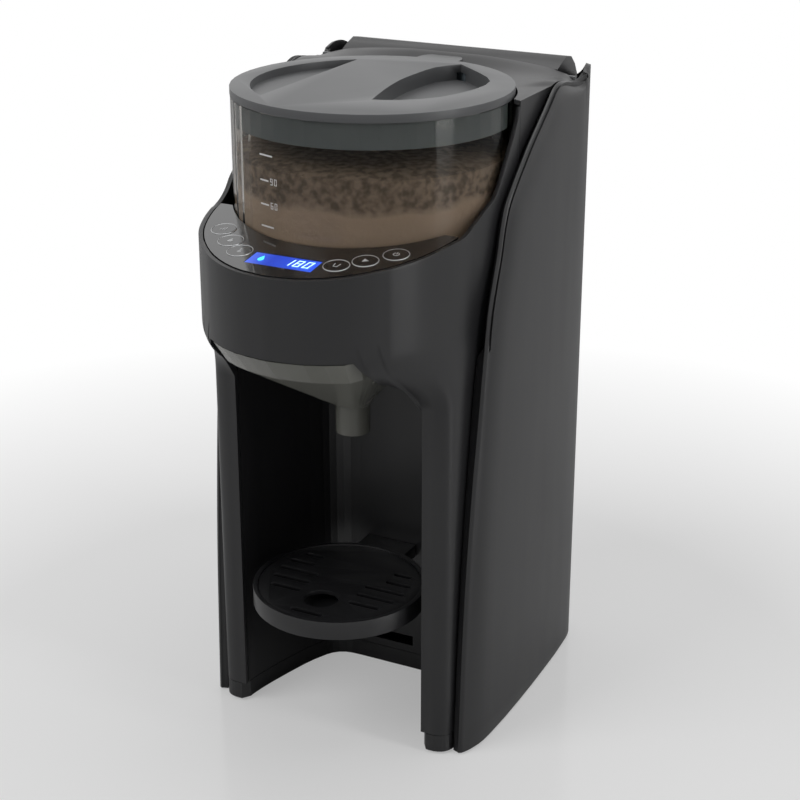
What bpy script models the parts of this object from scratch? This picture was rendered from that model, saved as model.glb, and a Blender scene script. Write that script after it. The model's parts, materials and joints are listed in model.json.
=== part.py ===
"""Baby formula maker: heats water, doses milk powder and mixes both through a funnel into a bottle.

Metres, +Z up, -Y is the front. The model is laid out about the powder container's upright axis, and an
empty that carries every object puts the middle of the footprint at the origin.
"""
import math

import bmesh
import bpy
from mathutils import Matrix, Vector

# Fits
GAP = 0.0003
SLIP = 0.0005
OVERRUN = 0.002
WELD = 0.000001
FACETS = 48
SMALL_FACETS = 16

# Powder container and what is round it
CONTAINER_RADIUS = 0.0716
CONTAINER_WALL = 0.002
CONTAINER_FLOOR = 0.002
CONTAINER_HEIGHT = 0.0732
SEAT_WALL = 0.001
SEAT_FLOOR = 0.002
SEAT_DEPTH = 0.012
WHEEL_ROOM = 0.0016
POCKET_BORDER = 0.008
POCKET_RADIUS = 0.010
WHEEL_RADIUS = CONTAINER_RADIUS - CONTAINER_WALL - WHEEL_ROOM
OUTLET_REACH = WHEEL_RADIUS - POCKET_BORDER - POCKET_RADIUS
OUTLET_RADIUS = POCKET_RADIUS + SLIP

# Casing walls and plan
COVER_WALL = 0.0022
SHELL_WALL = 0.0025
SHELL_ROOM = 0.0038
PANEL_REACH = 0.0372
TONGUE_ROOM = 0.0129
FRAME_WALL = 0.0022
TANK_DEPTH = 0.0278
HINGE_ROOM = 0.0045
SEAT_RADIUS = CONTAINER_RADIUS + SLIP + SEAT_WALL
COLLAR = SEAT_RADIUS + GAP + COVER_WALL
HALF_WIDTH = COLLAR + SHELL_ROOM + SHELL_WALL
HEAD_REACH = CONTAINER_RADIUS + PANEL_REACH + COVER_WALL
FRAME_FRONT = CONTAINER_RADIUS + TONGUE_ROOM
FRAME_BACK = FRAME_FRONT + FRAME_WALL
TANK_FRONT = FRAME_BACK + SLIP
TANK_BACK = TANK_FRONT + TANK_DEPTH
REAR_REACH = TANK_BACK + HINGE_ROOM
DEPTH = HEAD_REACH + REAR_REACH

# Levels above the floor
FOOT_PROUD = 0.0015
BASE_HEIGHT = 0.0097
BAY_HEIGHT = 0.2073
CEILING_WALL = 0.0022
LIP_HEIGHT = 0.0147
DRIVE_HEIGHT = 0.0315
LID_RIM = 0.0042
RIDGE_RISE = 0.0063
SHELL_BOTTOM = 0.001
BASE_TOP = FOOT_PROUD + BASE_HEIGHT
BAY_FLOOR = BASE_TOP + GAP
CEILING = BAY_FLOOR + BAY_HEIGHT
CEILING_TOP = CEILING + CEILING_WALL
HEAD_EDGE = CEILING + LIP_HEIGHT
SEAT_BOTTOM = HEAD_EDGE + DRIVE_HEIGHT
SEAT_TOP = SEAT_BOTTOM + SEAT_FLOOR
CONTAINER_BOTTOM = SEAT_TOP + GAP
CONTAINER_TOP = CONTAINER_BOTTOM + CONTAINER_HEIGHT
LID_BOTTOM = CONTAINER_TOP + GAP
LID_TOP = LID_BOTTOM + LID_RIM
HEIGHT = LID_TOP + RIDGE_RISE

# Control panel: a plane that falls towards the front
PANEL_RISE = 0.0248
PANEL_LEVEL = SEAT_BOTTOM + PANEL_RISE
PANEL_SLOPE_SHARE = 0.1384
PANEL_THICKNESS = 0.002
PANEL_END = 0.040
BOARD_DROP = 0.006
BOARD_THICKNESS = 0.0016
BUTTON_RADIUS = 0.006
BUTTON_PROUD = 0.0003
BUTTON_STEM = 0.003
BUTTON_STEM_DROP = 0.0049
BUTTON_ROOM = 0.0025
BUTTON_PITCH = 0.0107
DISPLAY_SET = 0.0206
DISPLAY_CENTRE = -CONTAINER_RADIUS - DISPLAY_SET
DISPLAY_WIDTH = 0.0358
# Buttons from the display outward: left and right name, place between the container and the head's outline
BUTTON_SHARES = (("heat", "volume", 0.568), ("water", "start", 0.482), ("strength", "power", 0.416))
DISPLAY_HEIGHT = 0.0118
LENS_THICKNESS = 0.0015
MODULE_BORDER = 0.0016
MODULE_THICKNESS = 0.0034

# Side rim of the shell, from the floor at the front up and over to the rear, as shares of depth and height
RIM_SHARES = (
    (-0.206, 0.003), (-0.191, 0.228), (-0.169, 0.3985), (-0.143, 0.541), (-0.126, 0.626), (-0.1105, 0.689),
    (-0.091, 0.7315), (-0.0715, 0.7685), (-0.0565, 0.8055), (-0.037, 0.834), (-0.0045, 0.858), (0.035, 0.881),
    (0.0825, 0.9065), (0.130, 0.928), (0.178, 0.949), (0.217, 0.9665), (0.260, 0.9765), (0.321, 0.9805),
    (0.373, 0.9855), (0.4055, 0.994),
)
REAR_RIM_SHARES = (
    (0.4055, 0.994), (0.434, 1.0), (0.462, 0.997), (0.486, 0.9835), (0.501, 0.962), (0.511, 0.931),
    (0.517, 0.8825),
)
# Half width of the shell along its depth, as shares of depth and half width
SIDE_SHARES = (
    (-0.206, 0.957), (-0.165, 0.9756), (-0.126, 0.990), (-0.035, 1.0), (0.087, 1.0), (0.2126, 0.9927),
    (0.360, 0.9756), (0.4055, 0.9634),
)
# Rear corner of the shell in plan, as shares of half width and rear reach
CORNER_SHARES = (
    (0.9634, 0.782), (0.945, 0.8535), (0.900, 0.9205), (0.829, 0.9625), (0.7195, 0.986), (0.549, 0.996),
    (0.305, 0.999), (0.0, 1.0),
)
NOSE_ROUND = 0.0035
NOSE_RUN = 0.006
NOSE_REACH = 0.020
NOSE_SHARES = (0.0, 0.15, 0.4, 1.0)
BAND_FALL = 0.0015

# Front cover in plan: side, nose and front of a leg, and of the head, as shares of half width and head reach
LEG_SHARES = (
    (0.872, 0.108), (0.872, -0.045), (0.872, -0.162), (0.871, -0.252), (0.866, -0.333), (0.857, -0.392),
    (0.8415, -0.432), (0.807, -0.461), (0.754, -0.474), (0.701, -0.474), (0.646, -0.474), (0.512, -0.474),
    (0.366, -0.474), (0.195, -0.474), (0.0, -0.474),
)
HEAD_SHARES = (
    (0.922, 0.108), (0.9195, -0.027), (0.910, -0.108), (0.892, -0.189), (0.868, -0.270), (0.851, -0.369),
    (0.8245, -0.464), (0.7865, -0.554), (0.7315, -0.6485), (0.6585, -0.735), (0.567, -0.815),
    (0.457, -0.8865), (0.329, -0.944), (0.183, -0.983), (0.0, -1.0),
)
LEG_FRONT_SHARE = 0.474
LEG_FRONT = LEG_FRONT_SHARE * HEAD_REACH
# Height of the cover's top edge along its side, as shares of head reach and height
COLLAR_SHARES = (
    (-0.4135, 0.8065), (-0.333, 0.8105), (-0.257, 0.8225), (-0.199, 0.8345), (-0.127, 0.847),
    (-0.0757, 0.866), (-0.0288, 0.890), (0.018, 0.911), (0.072, 0.936), (0.108, 0.962),
)
# Levels between which the leg's plan turns into the head's, at the side and at the front
SIDE_BLEND_DROP = 0.0188
SIDE_BLEND_RISE = 0.0262
FRONT_BLEND_DROP = 0.0288
FRONT_BLEND_RISE = 0.0112
COVER_LEVEL_SHARES = (0.3854, 0.7066, 0.8051, 0.8651, 0.9122, 0.9572, 1.0, 1.0493)

# Bay, from the leg's inner edge to the rear wall, as shares of half width and head reach
BAY_SHARES = (
    (0.662, -0.4505), (0.660, -0.399), (0.6255, -0.261), (0.545, -0.0315), (0.494, 0.0676), (0.445, 0.135),
    (0.366, 0.1757), (0.244, 0.1847), (0.0, 0.1847),
)
BAY_BACK = BAY_SHARES[-1][1] * HEAD_REACH
LEG_INSIDE = BAY_SHARES[0][0] * HALF_WIDTH
LINER_WALL = 0.0022
ARCH_ROUND = 0.0225
ARCH_FALL_SHARE = 1 / 3
ARCH_LAND = 0.0037
NOTCH_SLOPE = 0.0018
NOTCH_FOOT = LEG_INSIDE - ARCH_ROUND * ARCH_FALL_SHARE - ARCH_LAND
NOTCH_HEAD = NOTCH_FOOT - NOTCH_SLOPE
CEILING_LAP = 0.0008
CEILING_SETBACK = 0.035
CEILING_HALF = LEG_INSIDE + CEILING_LAP
CEILING_FRONT = HEAD_REACH - CEILING_SETBACK
FUNNEL_ROOM = 0.0012
RAIL_INSET = 0.0018
FUNNEL_HALF = NOTCH_HEAD - FUNNEL_ROOM
RAIL_HALF = FUNNEL_HALF - RAIL_INSET
SLOT_HALF = 0.0133
SLOT_HEIGHT = 0.006
SLOT_STEP = 0.0288
SLOTS = 3

# Funnel
SPOUT_PLACE = -0.0243
SPOUT_RADIUS = 0.0092
SPOUT_DROP = 0.0378
SPOUT_LENGTH = 0.0155
SPOUT_TOP = CEILING - SPOUT_DROP
SPOUT_BOTTOM = SPOUT_TOP - SPOUT_LENGTH
FUNNEL_REAR_ROOM = 0.003
FUNNEL_BACK = BAY_BACK - FUNNEL_REAR_ROOM
FUNNEL_WALL = 0.0016
FUNNEL_INSET = 0.0105
SHOULDER_RISE = 0.0017
FUNNEL_SHOULDER = CEILING + SHOULDER_RISE
FUNNEL_CORNER = 0.006
FUNNEL_STATIONS = 20
WING_BEARING = 0.0033
WING_SETBACK = 0.006
WING_HALF = RAIL_HALF + WING_BEARING
WING_FRONT = CEILING_FRONT - WING_SETBACK
WING_THICKNESS = 0.0016

# Bottle stand
CUP_PLACE = -0.0412
CUP_ROOM = 0.0077
CUP_RADIUS = LEG_INSIDE - CUP_ROOM
CUP_TOP = 0.0838
CUP_HEIGHT = 0.010
CUP_WALL = 0.0024
CUP_FLOOR = 0.0022
CUP_LEDGE = 0.0021
GRATE_SET = 0.0008
GRATE_THICKNESS = 0.0022
GRATE_SLOT_WIDTH = 0.0034
GRATE_PITCH = 0.0097
GRATE_BORDER = 0.0085
GRATE_HOLE = 0.0095
GRATE_HOLE_SET = 0.0208
GRATE_FRONT_SET = 0.0368
GRATE_HOLE_PLACE = CUP_PLACE - GRATE_HOLE_SET
GRATE_FRONT_SLOT = CUP_PLACE - GRATE_FRONT_SET
ARM_HALF = 0.015
ARM_HEIGHT = 0.0077
TONGUE_HALF = 0.0128
TONGUE_HEIGHT = 0.0052
TONGUE_REACH = 0.0013
TONGUE_RISE = 0.0028
SLOT_TOP = CUP_TOP - CUP_HEIGHT + TONGUE_RISE
GRATE_INNER_SHARES = (0.375, 0.575)
SLOT_END_SHARE = 0.98

# Dosing and drive
WHEEL_THICKNESS = 0.004
POCKETS = 8
HUB_RADIUS = 0.0042
HUB_HEAD = 0.006
HUB_RISE = 0.010
STIRRER_HUB = 0.009
STIRRER_HUB_HEIGHT = 0.0105
STIRRER_ROOM = 0.006
STIRRER_REACH = WHEEL_RADIUS - STIRRER_ROOM
STIRRER_BAR = 0.004
STIRRER_LIFT = 0.0022
STIRRER_RISE = 0.024
WIPER_THICKNESS = 0.0012
WIPER_BORDER = 0.005
WIPER_INNER = OUTLET_REACH - POCKET_RADIUS - WIPER_BORDER
WIPER_ANGLE = math.radians(18)
CHUTE_WALL = 0.0017
CHUTE_RADIUS = OUTLET_RADIUS + GAP + CHUTE_WALL
CHUTE_DROP = 0.0292
MOTOR_RADIUS = 0.0145
MOTOR_LENGTH = 0.0487
MOTOR_SHAFT = 0.0015
MOTOR_ROOM = 0.0048
GEAR_ROOM = 0.0035
TOOTH_MODULE = 0.001
TRAIN_TEETH = round(2 * (BAY_BACK + LINER_WALL + MOTOR_RADIUS + MOTOR_ROOM) / TOOTH_MODULE)
GEAR_TEETH_SHARE = 0.81
GEAR_TEETH = min(round(2 * (OUTLET_REACH - CHUTE_RADIUS - GEAR_ROOM) / TOOTH_MODULE),
                 round(TRAIN_TEETH * GEAR_TEETH_SHARE))
PINION_TEETH = TRAIN_TEETH - GEAR_TEETH
SPACING = TOOTH_MODULE * (GEAR_TEETH + PINION_TEETH) / 2
TOOTH_RISE_SHARE = 0.8
TOOTH_FALL_SHARE = 1.1
GEAR_THICKNESS = 0.005
PLATE_LEVEL = 0.0105
PLATE_THICKNESS = 0.0022
PLATE_ROOM = 0.0176
PLATE_BORDER = 0.0035
PLATE_CORNER = 0.006
PLATE_HALF = CONTAINER_RADIUS - PLATE_ROOM
PLATE_FRONT = OUTLET_REACH - CHUTE_RADIUS - SLIP * 3
PLATE_BACK = SPACING + MOTOR_RADIUS + PLATE_BORDER
POST_RADIUS = 0.004
POST_SET = 0.005
POST_FRONT_SET = 0.006
POST_PITCH = 0.042
SHAFT_RADIUS = 0.003
DOG_RADIUS = 0.0085
DOG_HEIGHT = 0.004
DOG_BAR = 0.003
DOG_TOP = SEAT_TOP - GAP * 2

# Lid
LID_LAP = 0.0002
LID_CORE_ROOM = 0.0056
LID_RADIUS = CONTAINER_RADIUS + LID_LAP
LID_CORE = CONTAINER_RADIUS - CONTAINER_WALL - LID_CORE_ROOM
LID_CORE_DEPTH = 0.008
LID_TAB_REACH = TONGUE_ROOM + SLIP + GAP
LID_TAB_HALF = 0.0125
LID_TAB_PLACE = 0.002
LID_TAB_THICKNESS = 0.0025
TONGUE_SEAT = LID_TOP - LID_TAB_THICKNESS - GAP
FRAME_TOP = TONGUE_SEAT - COVER_WALL - GAP
LID_POCKET_DEPTH = 0.008
LID_SEAL_WALL = 0.0015
LID_SEAL_DEPTH = 0.013
LID_UNDER_ROUND = 0.006
LID_BORDER = 0.0103
POCKET_ROUND = LID_RADIUS - LID_BORDER
GRIP_LEFT_SHARE = -0.4958
GRIP_RIGHT_SHARE = 0.1257
GRIP_END_SHARE = 0.58
# Right recess of the lid, its outer edge and then its edge along the grip, as shares of the container's radius
RECESS_OUTER_SHARES = (
    (0.2444, -0.4777), (0.4204, -0.4064), (0.6201, -0.2011), (0.7249, 0.1383), (0.7095, 0.4288),
    (0.5321, 0.6494), (0.2723, 0.8827),
)
RECESS_INNER_SHARES = (
    (0.2723, 0.8827), (0.1536, 0.6983), (0.1257, 0.4190), (0.1257, 0.1732), (0.1704, -0.1411), (0.2444, -0.4777),
)
GRIP_LEFT = GRIP_LEFT_SHARE * CONTAINER_RADIUS
GRIP_RIGHT = GRIP_RIGHT_SHARE * CONTAINER_RADIUS

# Water tank and its lid
CASING_BORDER = 0.0164
TANK_ROOM = 0.0015
TANK_LID_ROOM = 0.0009
OPENING_HALF = HALF_WIDTH - CASING_BORDER
TANK_HALF = OPENING_HALF - TANK_ROOM
TANK_LID_HALF = OPENING_HALF - TANK_LID_ROOM
TANK_ROUND = 0.006
TANK_WALL = 0.002
TANK_FLOOR = 0.002
TANK_SEAT = 0.0500
TANK_SEAT_WALL = 0.0025
TANK_LID_WALL = 0.0028
TANK_LID_ROOF = 0.0024
TANK_RIM_DROP = 0.016
TANK_RIM = LID_TOP - TANK_RIM_DROP
PORT_SET = 0.0138
PORT_PLACE = TANK_FRONT + PORT_SET
PORT_RADIUS = 0.0076
VALVE_HEAD = 0.008
VALVE_STEM = 0.0048
VALVE_HEIGHT = 0.002
VALVE_DROP = 0.0036
SOCKET_RADIUS = 0.010
SOCKET_BORE = 0.0052
SOCKET_DROP = 0.0077
PIN_SET = 0.0022
PIN_DROP = 0.0028
PIN_PLACE = TANK_BACK + PIN_SET
PIN_LEVEL = TANK_RIM - PIN_DROP
PIN_RADIUS = 0.0012
KNUCKLE_RADIUS = 0.002
KNUCKLE_HALF = 0.0195
EAR_INNER = 0.020
EAR_OUTER = 0.030

# Base
FOOT_RADIUS = 0.006
FOOT_SINK = 0.0012
FOOT_SET = 0.0179
FOOT_FRONT_SET = 0.0376
FOOT_REAR_SET = 0.0195
FOOT_HALF = HALF_WIDTH - FOOT_SET
FOOT_FRONT = -LEG_FRONT + FOOT_FRONT_SET
FOOT_REAR = REAR_REACH - FOOT_REAR_SET
BASE_STEP_SHARE = -0.1475
BASE_SIDE_SHARES = (-0.1302, -0.0434, 0.0868, 0.2169, 0.3601)
BASE_FLOOR = 0.0025
BASE_RIM = 0.002
BASE_BOSS = 0.006
SCREW_LINER_SET = 0.0053
SCREW_REAR_SET = 0.0269
SCREW_FRONT_HALF = LEG_INSIDE + SCREW_LINER_SET
SCREW_REAR_HALF = HALF_WIDTH - SCREW_REAR_SET
SCREW_NOSE_SET = 0.0126
SCREW_FRAME_SET = 0.0045
SCREW_FRONT = -LEG_FRONT + SCREW_NOSE_SET
SCREW_REAR = FRAME_FRONT - SCREW_FRAME_SET
SCREW_HEAD = 0.0035
SCREW_HEAD_HEIGHT = 0.0035
SCREW_SHANK = 0.0015
SCREW_LENGTH = 0.012
SCREW_SINK = 0.0007
LINER_POST = 0.0042
FRAME_POST = 0.0055
POST_RISE = 0.020

# Equipment behind the bay
PUMP_RADIUS = 0.0135
PUMP_ROOM = 0.019
PUMP_X = -0.035
PUMP_Y = FRAME_FRONT - PUMP_RADIUS - PUMP_ROOM
PUMP_BOTTOM = 0.030
PUMP_HEIGHT = 0.050
PUMP_TOP = PUMP_BOTTOM + PUMP_HEIGHT
PUMP_NECK_SHARE = 0.4
METER_RADIUS = 0.009
METER_ROOM = 0.0155
METER_LENGTH = 0.019
METER_LEFT = -0.006
METER_RIGHT = METER_LEFT + METER_LENGTH
METER_Y = FRAME_FRONT - METER_RADIUS - METER_ROOM
METER_Z = 0.0625
HEATER_RADIUS = 0.0165
HEATER_ROOM = 0.014
HEATER_X = 0.036
HEATER_Y = FRAME_FRONT - HEATER_RADIUS - HEATER_ROOM
HEATER_BOTTOM = 0.090
HEATER_HEIGHT = 0.090
HEATER_TOP = HEATER_BOTTOM + HEATER_HEIGHT
SADDLE_RISE = 0.010
METER_SADDLE = 0.0045
BOARD_ROOM = 0.0145
BOARD_FACE = FRAME_FRONT - BOARD_ROOM
BOARD_SET = 0.0119
BOARD_LEFT = BOARD_SET - HALF_WIDTH
BOARD_WIDTH = 0.058
BOARD_BOTTOM = 0.100
BOARD_HEIGHT = 0.090
TRANSFORMER_SET = 0.013
TRANSFORMER_WIDTH = 0.034
TRANSFORMER_LIFT = 0.050
TRANSFORMER_HEIGHT = 0.030
TRANSFORMER_DEPTH = 0.024
STANDOFF_SET = 0.010
STANDOFF_RADIUS = 0.003
NOZZLE_X = 0.018
NOZZLE_Y = -0.002
NOZZLE_RADIUS = 0.0045
NOZZLE_HEIGHT = 0.0094
NOZZLE_FEED = 0.0050
HOSE_RADIUS = 0.003
FEED_RADIUS = 0.0022
GLAND_X = 0.045
GLAND_Z = 0.026
GLAND_RADIUS = 0.006
GLAND_BORE = 0.0035
GLAND_LENGTH = 0.0062
CAP_FACETS = 28
# Hoses behind the bay: bends between their straight ends, as shares of half width, frame place and ceiling
HOSE_STRAIGHT = 0.0050
SUCTION_ROUTE_SHARES = (
    (-0.0733, 1.1361, 0.1005), (-0.2198, 0.9941, 0.0754), (-0.3419, 0.8047, 0.0686),
    (-0.4090, 0.6627, 0.0800),
)
METER_ROUTE_SHARES = (
    (-0.3968, 0.6391, 0.4250), (-0.3175, 0.6746, 0.4319), (-0.2381, 0.7041, 0.4022),
    (-0.2015, 0.7101, 0.3519), (-0.1832, 0.7101, 0.3108),
)
HEATER_ROUTE_SHARES = (
    (0.3419, 0.6746, 0.2994), (0.4274, 0.6450, 0.3428),
)
NOZZLE_ROUTE_SHARES = (
    (0.4396, 0.6391, 0.8912), (0.4151, 0.5680, 0.9963), (0.3541, 0.4379, 1.0695), (0.2747, 0.2840, 1.0900),
)

MATERIALS = {
    "black_body": ((0.018, 0.018, 0.019, 1.0), 0.42, 0.0),
    "black_gloss": ((0.008, 0.008, 0.009, 1.0), 0.08, 0.0),
    "grey_lid": ((0.105, 0.107, 0.110, 1.0), 0.38, 0.0),
    "smoke_clear": ((0.22, 0.21, 0.19, 1.0), 0.10, 0.0),
    "olive_clear": ((0.16, 0.16, 0.14, 1.0), 0.20, 0.0),
    "lens_clear": ((0.05, 0.22, 0.85, 1.0), 0.10, 0.0),
    "black_rubber": ((0.02, 0.02, 0.02, 1.0), 0.80, 0.0),
    "seal_silicone": ((0.35, 0.40, 0.44, 1.0), 0.45, 0.0),
    "white_plastic": ((0.70, 0.70, 0.68, 1.0), 0.45, 0.0),
    "grey_plastic": ((0.30, 0.31, 0.32, 1.0), 0.50, 0.0),
    "board_green": ((0.03, 0.16, 0.07, 1.0), 0.45, 0.0),
    "steel": ((0.60, 0.60, 0.61, 1.0), 0.32, 1.0),
    "copper": ((0.75, 0.38, 0.20, 1.0), 0.35, 1.0),
    "hose_silicone": ((0.62, 0.63, 0.62, 1.0), 0.40, 0.0),
}


def clear_scene():
    for item in list(bpy.data.objects):
        bpy.data.objects.remove(item, do_unlink=True)


def make_collection(name):
    collection = bpy.data.collections.new(name)
    bpy.context.scene.collection.children.link(collection)
    return collection


def make_material(name):
    colour, roughness, metallic = MATERIALS[name]
    material = bpy.data.materials.new(name)
    material.use_nodes = True
    shader = material.node_tree.nodes["Principled BSDF"]
    shader.inputs["Base Color"].default_value = colour
    shader.inputs["Roughness"].default_value = roughness
    shader.inputs["Metallic"].default_value = metallic
    return material


clear_scene()
PARTS = make_collection("baby_formula_maker")
CUTTERS = make_collection("cutters")
STAND = bpy.data.objects.new("middle_of_footprint", None)
STAND.location = (0.0, (HEAD_REACH - REAR_REACH) / 2, 0.0)
PARTS.objects.link(STAND)
FINISH = {name: make_material(name) for name in MATERIALS}


def place(mesh, name, origin=(0.0, 0.0, 0.0)):
    """Object with its origin at the given point of the layout, its mesh staying where it was made."""
    mesh.transform(Matrix.Translation(-Vector(origin)))
    item = bpy.data.objects.new(name, mesh)
    item.location = origin
    item.parent = STAND
    return item


def part(name, finish, mesh, origin=(0.0, 0.0, 0.0)):
    mesh.materials.clear()
    mesh.materials.append(FINISH[finish])
    mesh.shade_smooth()
    mesh.set_sharp_from_angle(angle=math.radians(35))
    item = place(mesh, name, origin)
    PARTS.objects.link(item)
    return item


def combine(target, operation, mesh, label):
    """Boolean of a helper solid on a part; the helper stays in the cutters' collection."""
    helper = place(mesh, target.name + "_" + label)
    helper.hide_render = True
    helper.display_type = "WIRE"
    CUTTERS.objects.link(helper)
    modifier = target.modifiers.new(label, "BOOLEAN")
    modifier.operation = operation
    modifier.object = helper
    return target


def cut(target, mesh, label="cut"):
    return combine(target, "DIFFERENCE", mesh, label)


def join(target, mesh, label="join"):
    return combine(target, "UNION", mesh, label)


def finish_mesh(shape, name="solid"):
    mesh = bpy.data.meshes.new(name)
    shape.to_mesh(mesh)
    shape.free()
    return mesh


def finish_solid(shape):
    """Mesh of a closed solid, cleared of loose edges and with its faces turned outward."""
    loose = [edge for edge in shape.edges if not edge.link_faces]
    bmesh.ops.delete(shape, geom=loose, context="EDGES")
    bmesh.ops.recalc_face_normals(shape, faces=shape.faces)
    if shape.calc_volume(signed=True) < 0:
        bmesh.ops.reverse_faces(shape, faces=shape.faces)
    return finish_mesh(shape)


def box(low, high):
    shape = bmesh.new()
    bmesh.ops.create_cube(shape, size=1.0)
    size = Vector(high) - Vector(low)
    middle = (Vector(high) + Vector(low)) / 2
    bmesh.ops.scale(shape, vec=size, verts=shape.verts)
    bmesh.ops.translate(shape, vec=middle, verts=shape.verts)
    return finish_mesh(shape)


def rod(radius, low, high, centre=(0.0, 0.0), axis="Z", facets=SMALL_FACETS, top_radius=None):
    """Cylinder or cone between two planes; centre is given in the plane's two other coordinates."""
    shape = bmesh.new()
    bmesh.ops.create_cone(
        shape, cap_ends=True, segments=facets, radius1=radius,
        radius2=radius if top_radius is None else top_radius, depth=high - low)
    bmesh.ops.translate(shape, vec=(centre[0], centre[1], (high + low) / 2), verts=shape.verts)
    bmesh.ops.transform(shape, matrix=turn(axis), verts=shape.verts)
    return finish_solid(shape)


def turn(axis):
    """Carries (u, v, w) to (x, y, z), to (y, z, x) or to (z, x, y) order for an extrusion along an axis."""
    if axis == "X":
        return Matrix(((0, 0, 1, 0), (1, 0, 0, 0), (0, 1, 0, 0), (0, 0, 0, 1)))
    if axis == "Y":
        return Matrix(((1, 0, 0, 0), (0, 0, 1, 0), (0, 1, 0, 0), (0, 0, 0, 1)))
    return Matrix.Identity(4)


def prism(outlines, low, high, axis="Z"):
    """Solid of one flat outline, or of an outline with holes, between two planes square to an axis."""
    if not isinstance(outlines[0][0], (tuple, list)):
        outlines = [outlines]
    curve = bpy.data.curves.new("outline", "CURVE")
    curve.dimensions = "2D"
    curve.fill_mode = "BOTH"
    curve.extrude = (high - low) / 2
    for outline in outlines:
        spline = curve.splines.new("POLY")
        spline.points.add(len(outline) - 1)
        for point, (u, v) in zip(spline.points, outline):
            point.co = (u, v, 0.0, 1.0)
        spline.use_cyclic_u = True
    holder = bpy.data.objects.new("outline", curve)
    bpy.context.scene.collection.objects.link(holder)
    graph = bpy.context.evaluated_depsgraph_get()
    mesh = bpy.data.meshes.new_from_object(holder.evaluated_get(graph))
    bpy.data.objects.remove(holder, do_unlink=True)
    shape = bmesh.new()
    shape.from_mesh(mesh)
    bpy.data.meshes.remove(mesh)
    bmesh.ops.remove_doubles(shape, verts=shape.verts, dist=WELD)
    bmesh.ops.translate(shape, vec=(0.0, 0.0, (high + low) / 2), verts=shape.verts)
    bmesh.ops.transform(shape, matrix=turn(axis), verts=shape.verts)
    return finish_solid(shape)


def turned(profile, centre=(0.0, 0.0), facets=FACETS):
    """Closed profile of (radius, height) turned about an upright axis with the Screw modifier."""
    area = sum(a[0] * b[1] - b[0] * a[1] for a, b in zip(profile, profile[1:] + profile[:1]))
    points = profile if area < 0 else profile[::-1]
    mesh = bpy.data.meshes.new("profile")
    count = len(points)
    mesh.from_pydata([(r, 0.0, z) for r, z in points], [(i, (i + 1) % count) for i in range(count)], [])
    holder = bpy.data.objects.new("profile", mesh)
    bpy.context.scene.collection.objects.link(holder)
    screw = holder.modifiers.new("turn", "SCREW")
    screw.steps = facets
    screw.render_steps = facets
    screw.use_merge_vertices = True
    screw.merge_threshold = WELD
    graph = bpy.context.evaluated_depsgraph_get()
    solid = bpy.data.meshes.new_from_object(holder.evaluated_get(graph))
    bpy.data.objects.remove(holder, do_unlink=True)
    shape = bmesh.new()
    shape.from_mesh(solid)
    bpy.data.meshes.remove(solid)
    bmesh.ops.remove_doubles(shape, verts=shape.verts, dist=WELD)
    bmesh.ops.dissolve_degenerate(shape, edges=shape.edges, dist=WELD)
    bmesh.ops.translate(shape, vec=(centre[0], centre[1], 0.0), verts=shape.verts)
    return finish_solid(shape)


def loft(rings):
    """Closed solid through rings of equal point counts, capped at both ends."""
    shape = bmesh.new()
    rows = [[shape.verts.new(point) for point in ring] for ring in rings]
    count = len(rows[0])
    for below, above in zip(rows, rows[1:]):
        for i in range(count):
            j = (i + 1) % count
            shape.faces.new((below[i], below[j], above[j], above[i]))
    shape.faces.new(rows[0][::-1])
    shape.faces.new(rows[-1])
    return finish_solid(shape)


def sheet(rows):
    """Open surface through rows of equal point counts."""
    shape = bmesh.new()
    grid = [[shape.verts.new(point) for point in row] for row in rows]
    for first, second in zip(grid, grid[1:]):
        for i in range(len(first) - 1):
            shape.faces.new((first[i], first[i + 1], second[i + 1], second[i]))
    bmesh.ops.remove_doubles(shape, verts=shape.verts, dist=WELD)
    return finish_mesh(shape)


def smooth(points, steps):
    """Catmull-Rom curve through the points, with the given number of steps between two of them."""
    ends = [points[0]] + list(points) + [points[-1]]
    result = []
    for a, b, c, d in zip(ends, ends[1:], ends[2:], ends[3:]):
        for k in range(steps):
            t = k / steps
            result.append(tuple(
                0.5 * (2 * q + (r - p) * t + (2 * p - 5 * q + 4 * r - s) * t ** 2 + (3 * q - p - 3 * r + s) * t ** 3)
                for p, q, r, s in zip(a, b, c, d)))
    result.append(tuple(points[-1]))
    return result


def sample(table, place_):
    """Value of a table of (place, value) pairs at a place, straight between its entries."""
    if place_ <= table[0][0]:
        return table[0][1]
    for (a, low), (b, high) in zip(table, table[1:]):
        if place_ <= b:
            return low + (high - low) * (place_ - a) / (b - a)
    return table[-1][1]


def offset(path, distance, closed=False):
    """Path moved to its left by a distance, each point along the mean normal of its two edges."""
    count = len(path)
    result = []
    for i, point in enumerate(path):
        before = path[i - 1] if closed or i else path[i]
        after = path[(i + 1) % count] if closed or i < count - 1 else path[i]
        first = Vector((point[0] - before[0], point[1] - before[1]))
        second = Vector((after[0] - point[0], after[1] - point[1]))
        edge_a = first.normalized() if first.length else second.normalized()
        edge_b = second.normalized() if second.length else first.normalized()
        mean = (edge_a + edge_b).normalized()
        reach = distance / max(mean.dot(edge_a), 0.5)
        across = 0.0 if abs(point[0]) < WELD else point[0] - mean.y * reach
        result.append((across, point[1] + mean.x * reach))
    return result


def mirrored(half):
    """Closed outline of a half that starts and ends on the middle plane, or stops short of it."""
    return list(half) + [(-x, y) for x, y in reversed(half) if abs(x) > WELD]


def arc(radius, start, end, steps, centre=(0.0, 0.0)):
    return [(centre[0] + radius * math.cos(start + (end - start) * k / steps),
             centre[1] + radius * math.sin(start + (end - start) * k / steps)) for k in range(steps + 1)]


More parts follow.
